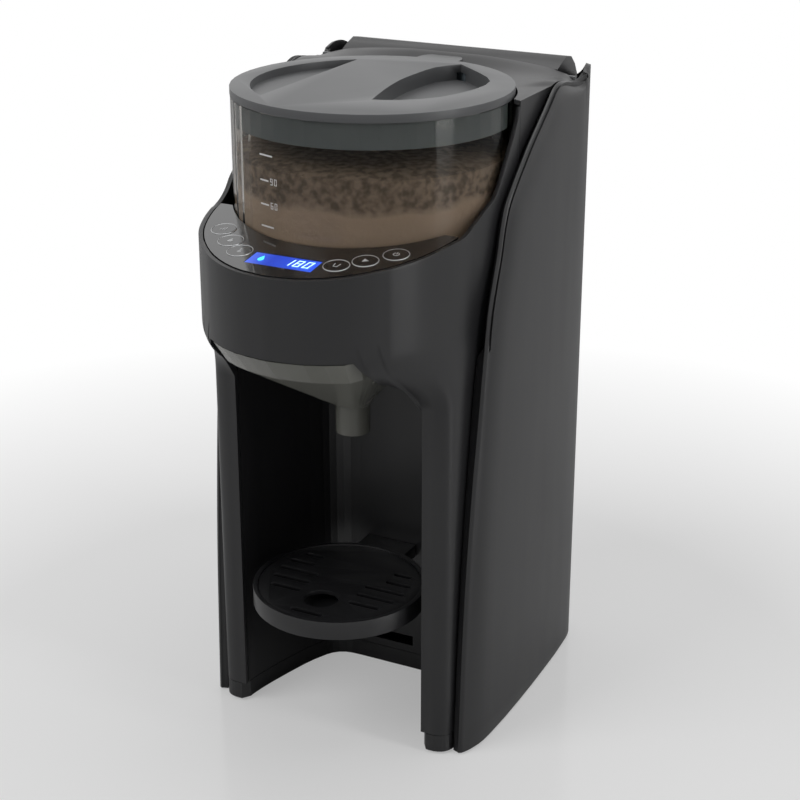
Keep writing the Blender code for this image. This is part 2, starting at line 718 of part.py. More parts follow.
def rounded(low, high, radius, steps=4):
    """Rectangle in plan with round corners."""
    quarter = math.pi / 2
    corners = ((high[0] - radius, low[1] + radius, -quarter), (high[0] - radius, high[1] - radius, 0.0),
               (low[0] + radius, high[1] - radius, quarter), (low[0] + radius, low[1] + radius, 2 * quarter))
    points = []
    for x, y, start in corners:
        points += arc(radius, start, start + quarter, steps, (x, y))
    return points


def panel_level(y):
    return PANEL_LEVEL + PANEL_SLOPE_SHARE * y


def lean(mesh, drop):
    """Shears an upright prism so that its faces follow the panel's plane, at a drop below it."""
    for vertex in mesh.vertices:
        vertex.co.z += panel_level(vertex.co.y) - drop
    return mesh


RIM = [(y * DEPTH, z * HEIGHT) for y, z in RIM_SHARES]
REAR_RIM = [(y * DEPTH, z * HEIGHT) for y, z in REAR_RIM_SHARES]
SIDE = smooth([(y * DEPTH, x * HALF_WIDTH) for y, x in SIDE_SHARES], 3)
CORNER = [(x * HALF_WIDTH, y * REAR_REACH) for x, y in CORNER_SHARES]
LEG_PLAN = [(x * HALF_WIDTH, y * HEAD_REACH) for x, y in LEG_SHARES]
HEAD_PLAN = [(x * HALF_WIDTH, y * HEAD_REACH) for x, y in HEAD_SHARES]
BAY_PLAN = smooth([(x * HALF_WIDTH, y * HEAD_REACH) for x, y in BAY_SHARES], 2)
COLLAR_LINE = [(y * HEAD_REACH, z * HEIGHT) for y, z in COLLAR_SHARES]
RIM_LEVELS = RIM[10:] + REAR_RIM[1:]


def side_width(y):
    return sample(SIDE, y)


def rim_level(y):
    return sample(RIM_LEVELS, y)


def ease(value):
    value = min(max(value, 0.0), 1.0)
    return value * value * (3 - 2 * value)


def cover_point(index, z):
    """Point of the front cover's outline at a height, between the leg's plan and the head's."""
    front = index / (len(LEG_PLAN) - 1)
    low = CEILING - SIDE_BLEND_DROP - (FRONT_BLEND_DROP - SIDE_BLEND_DROP) * front
    high = CEILING + SIDE_BLEND_RISE - (SIDE_BLEND_RISE - FRONT_BLEND_RISE) * front
    share = ease((z - low) / (high - low))
    first = Vector(LEG_PLAN[index])
    return first.lerp(Vector(HEAD_PLAN[index]), share)


def cover_side(y, z):
    """Half width of the front cover's side at a place along the depth and a height."""
    points = [cover_point(i, z) for i in range(len(LEG_PLAN))]
    return sample(sorted((p.y, p.x) for p in points[:9]), y)


def cover_top(y):
    """Height of the cover's top edge: the panel's plane in front, and the climbing collar at the sides."""
    if y <= COLLAR_LINE[0][0]:
        return panel_level(y)
    return sample(COLLAR_LINE, y)


def rim_inward(row):
    """Direction in the side plane that leads from the rim into the side wall."""
    before = Vector(RIM[max(row - 1, 0)])
    after = Vector(RIM[min(row + 1, len(RIM) - 1)])
    along = (after - before).normalized()
    return Vector((along.y, -along.x))


def outer_shell():
    spine_y, spine_top = RIM[-1]
    rows = []
    for i, (y, z) in enumerate(RIM):
        spine_z = SHELL_BOTTOM + (spine_top - SHELL_BOTTOM) * i / (len(RIM) - 1)
        start, end = Vector((y, z)), Vector((spine_y, spine_z))
        run = (end - start).length
        steps = [share * NOSE_REACH for share in NOSE_SHARES]
        shares = [min(step / run, 1.0) if run > NOSE_REACH * 1.5 else k / 6 for k, step in enumerate(steps)]
        shares += [shares[-1] + (1 - shares[-1]) * k / 3 for k in (1, 2, 3)]
        row = [band_point(i)]
        for share in shares:
            point = start.lerp(end, share)
            nose = NOSE_ROUND * min(1.0, run / NOSE_REACH) * math.exp(-share * run / NOSE_RUN)
            row.append((side_width(point.x) - nose, point.x, point.y))
        for x, y_corner in CORNER[1:]:
            top = sample(REAR_RIM, min(y_corner, REAR_RIM[-1][0]))
            row.append((x, y_corner, SHELL_BOTTOM + (spine_z - SHELL_BOTTOM) * (top - SHELL_BOTTOM)
                        / (spine_top - SHELL_BOTTOM)))
        rows.append(row)
    item = part("outer_shell", "black_body", sheet(rows))
    mirror = item.modifiers.new("other_side", "MIRROR")
    mirror.merge_threshold = WELD
    wall = item.modifiers.new("wall", "SOLIDIFY")
    wall.thickness = SHELL_WALL
    wall.offset = -1.0
    cut(item, box((-OPENING_HALF, FRAME_BACK + TANK_WALL, TANK_SEAT),
                  (OPENING_HALF, REAR_REACH + OVERRUN, HEIGHT + OVERRUN)), "tank_opening")
    cut(item, rod(GLAND_RADIUS + GAP, REAR_REACH - GLAND_LENGTH * 2, REAR_REACH + OVERRUN, (GLAND_X, GLAND_Z), "Y"), "gland")
    return item


def band_point(row):
    """Inner end of the shell's turned-in front edge, clear of the cover and of the deck."""
    here, inward = Vector(RIM[row]), rim_inward(row)
    front, back = here + inward * BAND_FALL, here + inward * (BAND_FALL + SHELL_WALL)
    collar = COLLAR if front.y > CEILING_TOP else 0.0
    reach = max(cover_side(*front), cover_side(*back), collar) + GAP
    return (reach, front.x, front.y)


def front_cover():
    rows = []
    for index in range(len(LEG_PLAN)):
        top = cover_top(HEAD_PLAN[index][1])
        levels = [BAY_FLOOR, *[share * HEAD_EDGE for share in COVER_LEVEL_SHARES]]
        last = levels[-1]
        levels += [last + (top - last) * k / 3 for k in (1, 2, 3)]
        rows.append([(*cover_point(index, z), z) for z in levels])
    item = part("front_cover", "black_body", sheet(list(zip(*rows))))
    mirror = item.modifiers.new("other_side", "MIRROR")
    mirror.merge_threshold = WELD
    wall = item.modifiers.new("wall", "SOLIDIFY")
    wall.thickness = COVER_WALL
    wall.offset = 1.0
    quarter = math.pi / 2
    corner = [(LEG_INSIDE - ARCH_ROUND * ARCH_FALL_SHARE * (1 - math.cos(quarter * k / 4)),
               CEILING - ARCH_ROUND * (1 - math.sin(quarter * k / 4))) for k in range(5)]
    half = [(LEG_INSIDE, -OVERRUN), *corner, (NOTCH_FOOT, CEILING), (NOTCH_HEAD, HEAD_EDGE)]
    cut(item, prism(mirrored(half), -HEAD_REACH - OVERRUN, -LEG_FRONT / 2, "Y"), "arch")
    return item


def bay_liner():
    inner = BAY_PLAN
    outer = offset(inner, -LINER_WALL)
    outline = mirrored(inner)
    band = outline + [(-x, y) for x, y in outer if abs(x) > WELD] + list(reversed(outer))
    item = part("bay_liner", "black_body", prism(band, BAY_FLOOR, CEILING))
    ceiling = [(RAIL_HALF, -CEILING_FRONT), (RAIL_HALF + SHELL_ROOM * 2, -CEILING_FRONT),
               (LEG_INSIDE, -CEILING_FRONT + ARCH_ROUND / 2), (CEILING_HALF, -LEG_FRONT - ARCH_ROUND / 2),
               (CEILING_HALF, BAY_BACK + LINER_WALL)]
    inside = [(RAIL_HALF, FUNNEL_BACK + SLIP * 2)]
    plate = ceiling + [(-x, y) for x, y in reversed(ceiling)] + [(-x, y) for x, y in inside] + inside
    join(item, prism(plate, CEILING - OVERRUN / 4, CEILING_TOP), "ceiling")
    for side in (1, -1):
        centre = (side * SCREW_FRONT_HALF, SCREW_FRONT)
        join(item, rod(LINER_POST, BAY_FLOOR, BAY_FLOOR + POST_RISE, centre), "post_%d" % side)
        cut(item, rod(SCREW_SHANK + GAP, BAY_FLOOR - OVERRUN, BASE_TOP + SCREW_LENGTH, centre), "bore_%d" % side)
    for level in (SLOT_TOP - SLOT_STEP * k for k in range(SLOTS)):
        cut(item, box((-SLOT_HALF, BAY_BACK - OVERRUN, level - SLOT_HEIGHT / 2),
                      (SLOT_HALF, BAY_BACK + LINER_WALL + OVERRUN, level + SLOT_HEIGHT / 2)), "slot")
    return item


def top_deck():
    radius = LID_RADIUS + SLIP * 2
    outer_x = COLLAR
    start = math.asin((HEAD_PLAN[0][1] + GAP * 2) / radius)
    rows = []
    count = 18
    edge = [(outer_x, radius * math.sin(start) + SLIP), (outer_x, BAY_BACK * 2), (outer_x, FRAME_FRONT - OVERRUN),
            (outer_x, FRAME_BACK - GAP), (OPENING_HALF, FRAME_BACK - GAP), (0.0, FRAME_BACK - GAP)]
    for k in range(count + 1):
        share = k / count
        angle = start + (math.pi / 2 - start) * share
        x, y = radius * math.cos(angle), radius * math.sin(angle)
        u, v = along(edge, share)
        inner, shoulder = Vector((x, y, LID_BOTTOM)), Vector((u, v, max(rim_level(v) - GAP, LID_BOTTOM)))
        drop = COVER_WALL if rim_level(v) < shoulder.z + GAP and v < FRAME_FRONT - TONGUE_ROOM else 0.0
        foot = Vector((u, v, min(shoulder.z, rim_level(v)) - drop)) if drop else shoulder
        rows.append([inner, inner.lerp(shoulder, 0.5), shoulder, foot])
    item = part("top_deck", "black_body", sheet(rows))
    mirror = item.modifiers.new("other_side", "MIRROR")
    mirror.merge_threshold = WELD
    wall = item.modifiers.new("wall", "SOLIDIFY")
    wall.thickness = COVER_WALL
    wall.offset = -1.0
    for side in (1, -1):
        join(item, deck_arm(side), "arm_%d" % side)
    cut(item, prism(tongue_outline(GAP * 2), CONTAINER_TOP, HEIGHT), "tongue_room")
    half = LID_TAB_HALF + COVER_WALL
    join(item, box((LID_TAB_PLACE - half, radius, TONGUE_SEAT - COVER_WALL),
                   (LID_TAB_PLACE + half, FRAME_BACK - GAP, TONGUE_SEAT)), "tongue_seat")
    return item


def deck_arm(side):
    """Strip of the deck between the tank's lid and the shell, ended against the shell's corner."""
    corner = sorted((y, x) for x, y in offset(CORNER, SHELL_WALL + GAP))
    rings = []
    for y in (FRAME_FRONT - OVERRUN, FRAME_BACK, *[p[0] for p in REAR_RIM[:4]]):
        inside = TANK_LID_HALF + GAP * 2
        outside = min(COLLAR - GAP, sample(corner, y)) if y > corner[0][0] else COLLAR - GAP
        top = rim_level(y) - GAP * 1.5
        foot = top - COVER_WALL - GAP
        corners = ((inside, top), (outside, top), (outside, foot), (inside, foot))
        rings.append([(side * x, y, z) for x, z in corners])
    return loft(rings)


def tongue_outline(extra):
    """Plan of the lid's tongue, let out by a margin."""
    half = LID_TAB_HALF + extra
    tip = LID_RADIUS + LID_TAB_REACH - LID_TAB_HALF
    points = arc(half, 0.0, math.pi, 10, (LID_TAB_PLACE, tip))
    return points + [(LID_TAB_PLACE - half, LID_CORE), (LID_TAB_PLACE + half, LID_CORE)]


def along(path, share):
    """Point at a share of a path's length."""
    lengths = [math.dist(a, b) for a, b in zip(path, path[1:])]
    left = share * sum(lengths)
    for (a, b), length in zip(zip(path, path[1:]), lengths):
        if left <= length + WELD:
            return tuple(p + (q - p) * min(left / length, 1.0) for p, q in zip(a, b))
        left -= length
    return path[-1]


def cover_inside(extra):
    """Half outline of the head from side to front, inside the cover's wall."""
    return offset(smooth(HEAD_PLAN[4:], 2), -(COVER_WALL + extra))


def crescent(inner_radius, extra, end):
    """Outline between the container's circle and the head's wall, in front of a line across."""
    half = [point for point in cover_inside(extra) if point[1] < -end]
    half = [(along_x(cover_inside(extra), -end), -end)] + half
    angle = math.asin(end / inner_radius)
    inner = arc(inner_radius, -angle, -math.pi / 2, 14)
    return mirrored(half) + [(-x, y) for x, y in inner] + [p for p in reversed(inner) if p[0] > WELD]


def along_x(path, y):
    return sample(sorted((v, u) for u, v in path), y)


def button_places():
    """Centres of the buttons: in steps from the display, between the container and the head's outline."""
    edge = sorted(HEAD_PLAN[4:])
    places = []
    for k, (left, right, share) in enumerate(BUTTON_SHARES):
        x = DISPLAY_WIDTH / 2 + BUTTON_ROOM + BUTTON_RADIUS + BUTTON_PITCH * k
        inner = -math.sqrt(CONTAINER_RADIUS ** 2 - x ** 2)
        y = inner + (sample(edge, x) - inner) * share
        places += [(left, (-x, y)), (right, (x, y))]
    return places


def control_panel():
    outline = crescent(CONTAINER_RADIUS + SLIP, GAP * 2, PANEL_END)
    item = part("control_panel", "black_gloss", lean(prism(outline, -PANEL_THICKNESS, 0.0), 0.0))
    for name, (x, y) in button_places():
        hole = rod(BUTTON_RADIUS + GAP, SEAT_BOTTOM, CONTAINER_TOP, (x, y), facets=CAP_FACETS)
        cut(item, hole, name + "_hole")
    half = (DISPLAY_WIDTH / 2 + GAP, DISPLAY_HEIGHT / 2 + GAP)
    cut(item, box((-half[0], DISPLAY_CENTRE - half[1], SEAT_BOTTOM),
                  (half[0], DISPLAY_CENTRE + half[1], CONTAINER_TOP)), "window")
    return item


def display():
    half = (DISPLAY_WIDTH / 2, DISPLAY_HEIGHT / 2)
    glass = box((-half[0], DISPLAY_CENTRE - half[1], -LENS_THICKNESS), (half[0], DISPLAY_CENTRE + half[1], 0.0))
    part("display_window", "lens_clear", lean(glass, GAP / 2))
    wide = (half[0] + MODULE_BORDER, half[1] + MODULE_BORDER)
    body = box((-wide[0], DISPLAY_CENTRE - wide[1], -MODULE_THICKNESS), (wide[0], DISPLAY_CENTRE + wide[1], 0.0))
    part("display_module", "grey_plastic", lean(body, PANEL_THICKNESS + GAP))
    board = crescent(SEAT_RADIUS + GAP, GAP * 3, PANEL_END)
    part("control_board", "board_green", lean(prism(board, -BOARD_THICKNESS, 0.0), BOARD_DROP))


def buttons():
    for name, (x, y) in button_places():
        cap = rod(BUTTON_RADIUS, -PANEL_THICKNESS, BUTTON_PROUD, (x, y), facets=CAP_FACETS)
        item = part("button_" + name, "black_gloss", lean(cap, 0.0), (x, y, panel_level(y)))
        stem = rod(BUTTON_STEM, -BUTTON_STEM_DROP, -PANEL_THICKNESS / 2, (x, y))
        join(item, lean(stem, 0.0), "stem")


def container_seat():
    top = SEAT_BOTTOM + SEAT_DEPTH
    profile = [(DOG_RADIUS + SLIP * 2, SEAT_BOTTOM), (SEAT_RADIUS, SEAT_BOTTOM), (SEAT_RADIUS, top),
               (SEAT_RADIUS - SEAT_WALL, top), (SEAT_RADIUS - SEAT_WALL, SEAT_TOP), (DOG_RADIUS + SLIP * 2, SEAT_TOP)]
    item = part("container_seat", "grey_plastic", turned(profile))
    cut(item, rod(OUTLET_RADIUS, SEAT_BOTTOM - OVERRUN, SEAT_TOP + OVERRUN, (0.0, -OUTLET_REACH)), "outlet")


def powder_container():
    inside = CONTAINER_RADIUS - CONTAINER_WALL
    floor = CONTAINER_BOTTOM + CONTAINER_FLOOR
    bore = HUB_RADIUS + GAP
    profile = [(bore, CONTAINER_BOTTOM), (CONTAINER_RADIUS, CONTAINER_BOTTOM), (CONTAINER_RADIUS, CONTAINER_TOP),
               (inside, CONTAINER_TOP), (inside, floor), (bore, floor)]
    item = part("powder_container", "smoke_clear", turned(profile), (0.0, 0.0, CONTAINER_BOTTOM))
    cut(item, rod(OUTLET_RADIUS, CONTAINER_BOTTOM - OVERRUN, floor + OVERRUN, (0.0, -OUTLET_REACH)), "outlet")
    wheel_low = floor + GAP
    wheel_top = wheel_low + WHEEL_THICKNESS
    wiper_low = wheel_top + GAP
    middle = -math.pi / 2
    blade = arc(inside - GAP, middle - WIPER_ANGLE, middle + WIPER_ANGLE, 6)
    blade += arc(WIPER_INNER, middle + WIPER_ANGLE, middle - WIPER_ANGLE, 4)
    part("wiper_plate", "white_plastic", prism(blade, wiper_low, wiper_low + WIPER_THICKNESS))
    dosing_wheel(wheel_low, wheel_top)
    stirrer(wheel_top)


def dosing_wheel(low, top):
    hub_foot = SEAT_BOTTOM - GAP * 2
    profile = [(0.0, hub_foot), (HUB_RADIUS, hub_foot), (HUB_RADIUS, low), (WHEEL_RADIUS, low), (WHEEL_RADIUS, top),
               (HUB_HEAD, top), (HUB_HEAD, top + HUB_RISE), (0.0, top + HUB_RISE)]
    item = part("dosing_wheel", "white_plastic", turned(profile), (0.0, 0.0, low))
    for k in range(POCKETS):
        angle = -math.pi / 2 + 2 * math.pi * (k + 0.5) / POCKETS
        centre = (OUTLET_REACH * math.cos(angle), OUTLET_REACH * math.sin(angle))
        cut(item, rod(POCKET_RADIUS, low - OVERRUN, top + OVERRUN, centre, facets=18), "pocket_%d" % k)
    half = DOG_BAR / 2 + GAP
    cut(item, box((-DOG_RADIUS, -half, hub_foot - OVERRUN), (DOG_RADIUS, half, DOG_TOP + GAP)), "dog_slot")


def stirrer(wheel_top):
    low = wheel_top + GAP
    bore = HUB_HEAD + GAP
    profile = [(bore, low), (STIRRER_HUB, low), (STIRRER_HUB, low + STIRRER_HUB_HEIGHT),
               (bore, low + STIRRER_HUB_HEIGHT)]
    item = part("stirrer", "white_plastic", turned(profile, facets=SMALL_FACETS), (0.0, 0.0, low))
    bar_low = low + STIRRER_LIFT
    half = STIRRER_BAR / 2
    for side in (1, -1):
        ends = sorted((side * (bore + GAP * 2), side * STIRRER_REACH))
        join(item, box((ends[0], -half, bar_low), (ends[1], half, bar_low + STIRRER_BAR)), "arm_%d" % side)
        ends = sorted((side * (STIRRER_REACH - STIRRER_BAR), side * (STIRRER_REACH + GAP)))
        join(item, box((ends[0], -half - GAP, bar_low - GAP), (ends[1], half + GAP, bar_low + STIRRER_RISE)),
             "blade_%d" % side)


def powder_lid():
    core_low = LID_BOTTOM - LID_CORE_DEPTH
    profile = [(0.0, core_low), (LID_CORE, core_low), (LID_CORE, LID_BOTTOM), (LID_RADIUS, LID_BOTTOM),
               (LID_RADIUS, LID_TOP), (0.0, LID_TOP)]
    item = part("powder_lid", "grey_lid", turned(profile), (0.0, 0.0, LID_BOTTOM))
    pocket_low = LID_TOP - LID_POCKET_DEPTH
    side_angle = math.acos(GRIP_LEFT / POCKET_ROUND)
    left = arc(POCKET_ROUND, side_angle, 2 * math.pi - side_angle, 14)
    cut(item, prism(left, LID_TOP - LID_POCKET_DEPTH / 2, LID_TOP + OVERRUN), "left_recess")
    right = smooth([(x * CONTAINER_RADIUS, y * CONTAINER_RADIUS) for x, y in RECESS_OUTER_SHARES], 2)
    right += smooth([(x * CONTAINER_RADIUS, y * CONTAINER_RADIUS) for x, y in RECESS_INNER_SHARES], 2)[1:-1]
    cut(item, prism(right, pocket_low, LID_TOP + OVERRUN), "right_recess")
    end = LID_CORE * GRIP_END_SHARE
    under = rounded((GRIP_LEFT + COVER_WALL, -end), (GRIP_RIGHT - COVER_WALL, end), LID_UNDER_ROUND)
    cut(item, prism(under, core_low - OVERRUN, LID_BOTTOM + LID_RIM / 3), "under_grip")
    join(item, prism(tongue_outline(0.0), TONGUE_SEAT + GAP, LID_TOP - GAP / 2), "tongue")
    outside = CONTAINER_RADIUS - CONTAINER_WALL - GAP
    seal = [(outside - LID_SEAL_WALL, LID_BOTTOM - GAP - LID_SEAL_DEPTH), (outside, LID_BOTTOM - GAP - LID_SEAL_DEPTH),
            (outside, LID_BOTTOM - GAP), (outside - LID_SEAL_WALL, LID_BOTTOM - GAP)]
    part("lid_seal", "seal_silicone", turned(seal), (0.0, 0.0, LID_BOTTOM))


def toothed(teeth, bore, low, thickness, centre=(0.0, 0.0), phase=0.0):
    """Spur gear with straight-sided teeth that narrow to their tips."""
    pitch_radius = TOOTH_MODULE * teeth / 2
    step = 2 * math.pi / teeth
    outline = []
    for k in range(teeth):
        middle = phase + k * step
        for share, rise in ((-0.24, -TOOTH_FALL_SHARE), (-0.12, TOOTH_RISE_SHARE), (0.12, TOOTH_RISE_SHARE), (0.24, -TOOTH_FALL_SHARE)):
            angle = middle + share * step
            reach = pitch_radius + rise * TOOTH_MODULE
            outline.append((centre[0] + reach * math.cos(angle), centre[1] + reach * math.sin(angle)))
    hole = arc(bore, 0.0, 2 * math.pi * 15 / 16, 15, centre)
    return prism([outline, hole], low, low + thickness)


def drive():
    """Gear train, its plate and its motor under the container's seat."""
    plate_low = HEAD_EDGE + PLATE_LEVEL
    plate_top = plate_low + PLATE_THICKNESS
    plate = part("gear_plate", "grey_plastic", prism(
        rounded((-PLATE_HALF, -PLATE_FRONT), (PLATE_HALF, PLATE_BACK), PLATE_CORNER), plate_low, plate_top))
    front = -PLATE_FRONT + POST_FRONT_SET
    for x in (POST_SET - PLATE_HALF, PLATE_HALF - POST_SET):
        for y in (front, front + POST_PITCH):
            join(plate, rod(POST_RADIUS, CEILING_TOP + GAP, SEAT_BOTTOM - GAP, (x, y)), "post")
    cut(plate, rod(SHAFT_RADIUS + GAP, plate_low - OVERRUN, plate_top + OVERRUN), "bearing")
    cut(plate, rod(MOTOR_SHAFT * 2, plate_low - OVERRUN, plate_top + OVERRUN, (0.0, SPACING)), "motor_hole")
    gear_low = plate_top + SLIP * 2
    gear_top = gear_low + GEAR_THICKNESS
    half_turn = math.pi / GEAR_TEETH
    part("drive_gear", "white_plastic",
         toothed(GEAR_TEETH, SHAFT_RADIUS + GAP, gear_low, GEAR_THICKNESS, phase=half_turn + math.pi / 2),
         (0.0, 0.0, gear_low))
    part("motor_pinion", "white_plastic",
         toothed(PINION_TEETH, MOTOR_SHAFT + GAP, gear_low, GEAR_THICKNESS, (0.0, SPACING), -math.pi / 2),
         (0.0, SPACING, gear_low))
    dog_low = SEAT_BOTTOM - GAP * 3
    flange = dog_low - DOG_HEIGHT
    profile = [(0.0, plate_low + GAP), (SHAFT_RADIUS, plate_low + GAP), (SHAFT_RADIUS, flange),
               (DOG_RADIUS, flange), (DOG_RADIUS, dog_low), (0.0, dog_low)]
    coupling = part("drive_coupling", "white_plastic", turned(profile, facets=SMALL_FACETS), (0.0, 0.0, dog_low))
    join(coupling, box((-DOG_RADIUS + OVERRUN, -DOG_BAR / 2, dog_low - GAP),
                       (DOG_RADIUS - OVERRUN, DOG_BAR / 2, DOG_TOP)), "dog")
    can = [(0.0, plate_low - GAP - MOTOR_LENGTH), (MOTOR_RADIUS, plate_low - GAP - MOTOR_LENGTH),
           (MOTOR_RADIUS, plate_low - GAP), (MOTOR_SHAFT, plate_low - GAP), (MOTOR_SHAFT, gear_top + GAP),
           (0.0, gear_top + GAP)]
    part("dosing_motor", "steel", turned(can, (0.0, SPACING), SMALL_FACETS + 4))
    tube = [(CHUTE_RADIUS - CHUTE_WALL, SEAT_BOTTOM - GAP - CHUTE_DROP), (CHUTE_RADIUS, SEAT_BOTTOM - GAP - CHUTE_DROP),
            (CHUTE_RADIUS, SEAT_BOTTOM - GAP), (CHUTE_RADIUS - CHUTE_WALL, SEAT_BOTTOM - GAP)]
    part("powder_chute", "grey_plastic", turned(tube, (0.0, -OUTLET_REACH), SMALL_FACETS + 4))


def funnel():
    front = [p for p in smooth(HEAD_PLAN[9:], 2) if p[0] < FUNNEL_HALF - GAP]
    edge_y = sample(sorted((x, y) for x, y in HEAD_PLAN[9:]), FUNNEL_HALF)
    half = [(0.0, FUNNEL_BACK), (FUNNEL_HALF - FUNNEL_CORNER, FUNNEL_BACK), (FUNNEL_HALF, FUNNEL_BACK - FUNNEL_CORNER),
            (FUNNEL_HALF, edge_y), *front]
    top = resample(half, FUNNEL_STATIONS)
    shoulder_half = [(min(x, RAIL_HALF - GAP * 2) if x > GAP else 0.0, y) for x, y in inset_front(half)]
    shoulder = resample(shoulder_half, FUNNEL_STATIONS)
    item = part("funnel", "olive_clear", loft(funnel_rings(top, shoulder, 0.0)))
    cut(item, loft(funnel_rings(top, shoulder, FUNNEL_WALL)), "inside")
    wing_low = CEILING_TOP + GAP
    for side in (1, -1):
        low, high = sorted((side * (RAIL_HALF - WING_THICKNESS), side * WING_HALF))
        join(item, box((low, -WING_FRONT, wing_low), (high, FUNNEL_BACK - FUNNEL_CORNER, wing_low + WING_THICKNESS)),
             "wing_%d" % side)
    return item


def inset_front(half):
    """Front of the funnel's outline drawn back, growing towards the middle of the front."""
    depth = max(-y for x, y in half)
    return [(x, y + FUNNEL_INSET * ease(-y / depth) if y < 0 else y) for x, y in half]


def resample(half, count):
    """Whole outline from a half, as evenly spaced points that start at the rear."""
    points = [along(half, k / count) for k in range(count + 1)]
    return points + [(-x, y) for x, y in reversed(points[1:-1])]


def funnel_rings(top, shoulder, wall):
    """Rings down the funnel: rim, shoulder, head of the spout and its mouth, moved in by a wall."""
    count = len(top)
    centre = Vector((0.0, SPOUT_PLACE))
    circle = [(centre.x + (SPOUT_RADIUS - wall) * math.sin(2 * math.pi * k / count),
               centre.y + (SPOUT_RADIUS - wall) * math.cos(2 * math.pi * k / count)) for k in range(count)]

    def moved(points):
        return offset(points, -wall, closed=True) if wall else points
    lift = OVERRUN if wall else 0.0
    rim_level_ = HEAD_EDGE - SLIP
    levels = ((moved(top), rim_level_ + lift), (moved(shoulder), FUNNEL_SHOULDER + wall),
              (circle, SPOUT_TOP + wall / 2), (circle, SPOUT_BOTTOM - lift))
    return [[(x, y, z) for x, y in ring] for ring, z in levels]


def bottle_stand():
    low = CUP_TOP - CUP_HEIGHT
    grate_top = CUP_TOP - GRATE_SET
    ledge = grate_top - GRATE_THICKNESS - GAP
    inside = CUP_RADIUS - CUP_WALL
    profile = [(0.0, low), (CUP_RADIUS, low), (CUP_RADIUS, CUP_TOP), (inside, CUP_TOP), (inside, ledge),
               (inside - CUP_LEDGE, ledge), (inside - CUP_LEDGE, low + CUP_FLOOR), (0.0, low + CUP_FLOOR)]
    cup = part("drip_cup", "black_body", turned(profile, (0.0, CUP_PLACE)), (0.0, CUP_PLACE, low))
    rear = CUP_PLACE + CUP_RADIUS
    join(cup, box((-ARM_HALF, rear - CUP_WALL, low + GAP), (ARM_HALF, BAY_BACK - GAP, low + ARM_HEIGHT)), "arm")
    middle = SLOT_TOP
    join(cup, box((-TONGUE_HALF, BAY_BACK - OVERRUN, middle - TONGUE_HEIGHT / 2),
                  (TONGUE_HALF, BAY_BACK + LINER_WALL + TONGUE_REACH, middle + TONGUE_HEIGHT / 2)), "tongue")
    grate = part("drip_grate", "black_body",
                 rod(inside - GAP, ledge + GAP, grate_top, (0.0, CUP_PLACE), facets=FACETS),
                 (0.0, CUP_PLACE, ledge))
    reach = CUP_RADIUS - GRATE_BORDER
    half = GRATE_SLOT_WIDTH / 2
    for side in (1, -1):
        for k in range(-2, 3):
            y = CUP_PLACE + OVERRUN + k * GRATE_PITCH
            end = math.sqrt(reach ** 2 - (k * GRATE_PITCH) ** 2)
            start = reach * GRATE_INNER_SHARES[k > 0]
            xs = sorted((side * start, side * end))
            cut(grate, prism(rounded((xs[0], y - half), (xs[1], y + half), half * SLOT_END_SHARE, 2),
                             ledge - OVERRUN, CUP_TOP), "slot_%d_%d" % (side, k))
    cut(grate, rod(GRATE_HOLE, ledge - OVERRUN, CUP_TOP, (0.0, GRATE_HOLE_PLACE)), "hole")
    front = (-GRATE_HOLE, GRATE_HOLE + GAP)
    cut(grate, prism(rounded((front[0], GRATE_FRONT_SLOT - half), (front[1], GRATE_FRONT_SLOT + half), half * SLOT_END_SHARE, 2),
                     ledge - OVERRUN, CUP_TOP), "front_slot")


def base_plate():
    nose = smooth(LEG_PLAN[4:10], 2)
    inside_shell = [(side_width(share * DEPTH) - SHELL_WALL - SLIP * 3, share * DEPTH) for share in BASE_SIDE_SHARES]
    rear = [(x - SHELL_WALL, y - SHELL_WALL) for x, y in CORNER[1:-1]]
    step = BASE_STEP_SHARE * DEPTH
    outer = list(reversed(nose)) + [(LEG_PLAN[4][0], step), (inside_shell[0][0], step + GAP * 2)]
    outer += inside_shell[1:] + rear + [(0.0, CORNER[-1][1] - SHELL_WALL - GAP)]
    bay = BAY_PLAN
    half = [*reversed(bay[1:])] + outer
    outline = half + [(-x, y) for x, y in reversed(half[1:-1])]
    item = part("base_plate", "black_body", prism(outline, FOOT_PROUD, BASE_TOP))
    pocket = offset(outline, BASE_RIM, closed=True)
    cut(item, prism(pocket, FOOT_PROUD + BASE_FLOOR, BASE_TOP + OVERRUN), "hollow")
    for place_name, x, y in (("front", SCREW_FRONT_HALF, SCREW_FRONT), ("rear", SCREW_REAR_HALF, SCREW_REAR)):
        for side in (1, -1):
            centre = (side * x, y)
            join(item, rod(BASE_BOSS, FOOT_PROUD + GAP, BASE_TOP, centre), "boss")
            cut(item, rod(SCREW_HEAD + GAP * 2, FOOT_PROUD - OVERRUN, FOOT_PROUD + SCREW_SINK + SCREW_HEAD_HEIGHT + GAP,
                          centre), "counterbore")
            cut(item, rod(SCREW_SHANK + GAP, FOOT_PROUD, BASE_TOP + OVERRUN, centre, facets=12), "bore")
            screw(place_name + ("_right" if side > 0 else "_left"), centre)
    for place_name, y in (("front", FOOT_FRONT), ("rear", FOOT_REAR)):
        for side in (1, -1):
            centre = (side * FOOT_HALF, y)
            cut(item, rod(FOOT_RADIUS + GAP, FOOT_PROUD - OVERRUN, FOOT_PROUD + FOOT_SINK + GAP, centre), "foot_seat")
            part("foot_" + place_name + ("_right" if side > 0 else "_left"), "black_rubber",
                 rod(FOOT_RADIUS, 0.0, FOOT_PROUD + FOOT_SINK, centre))


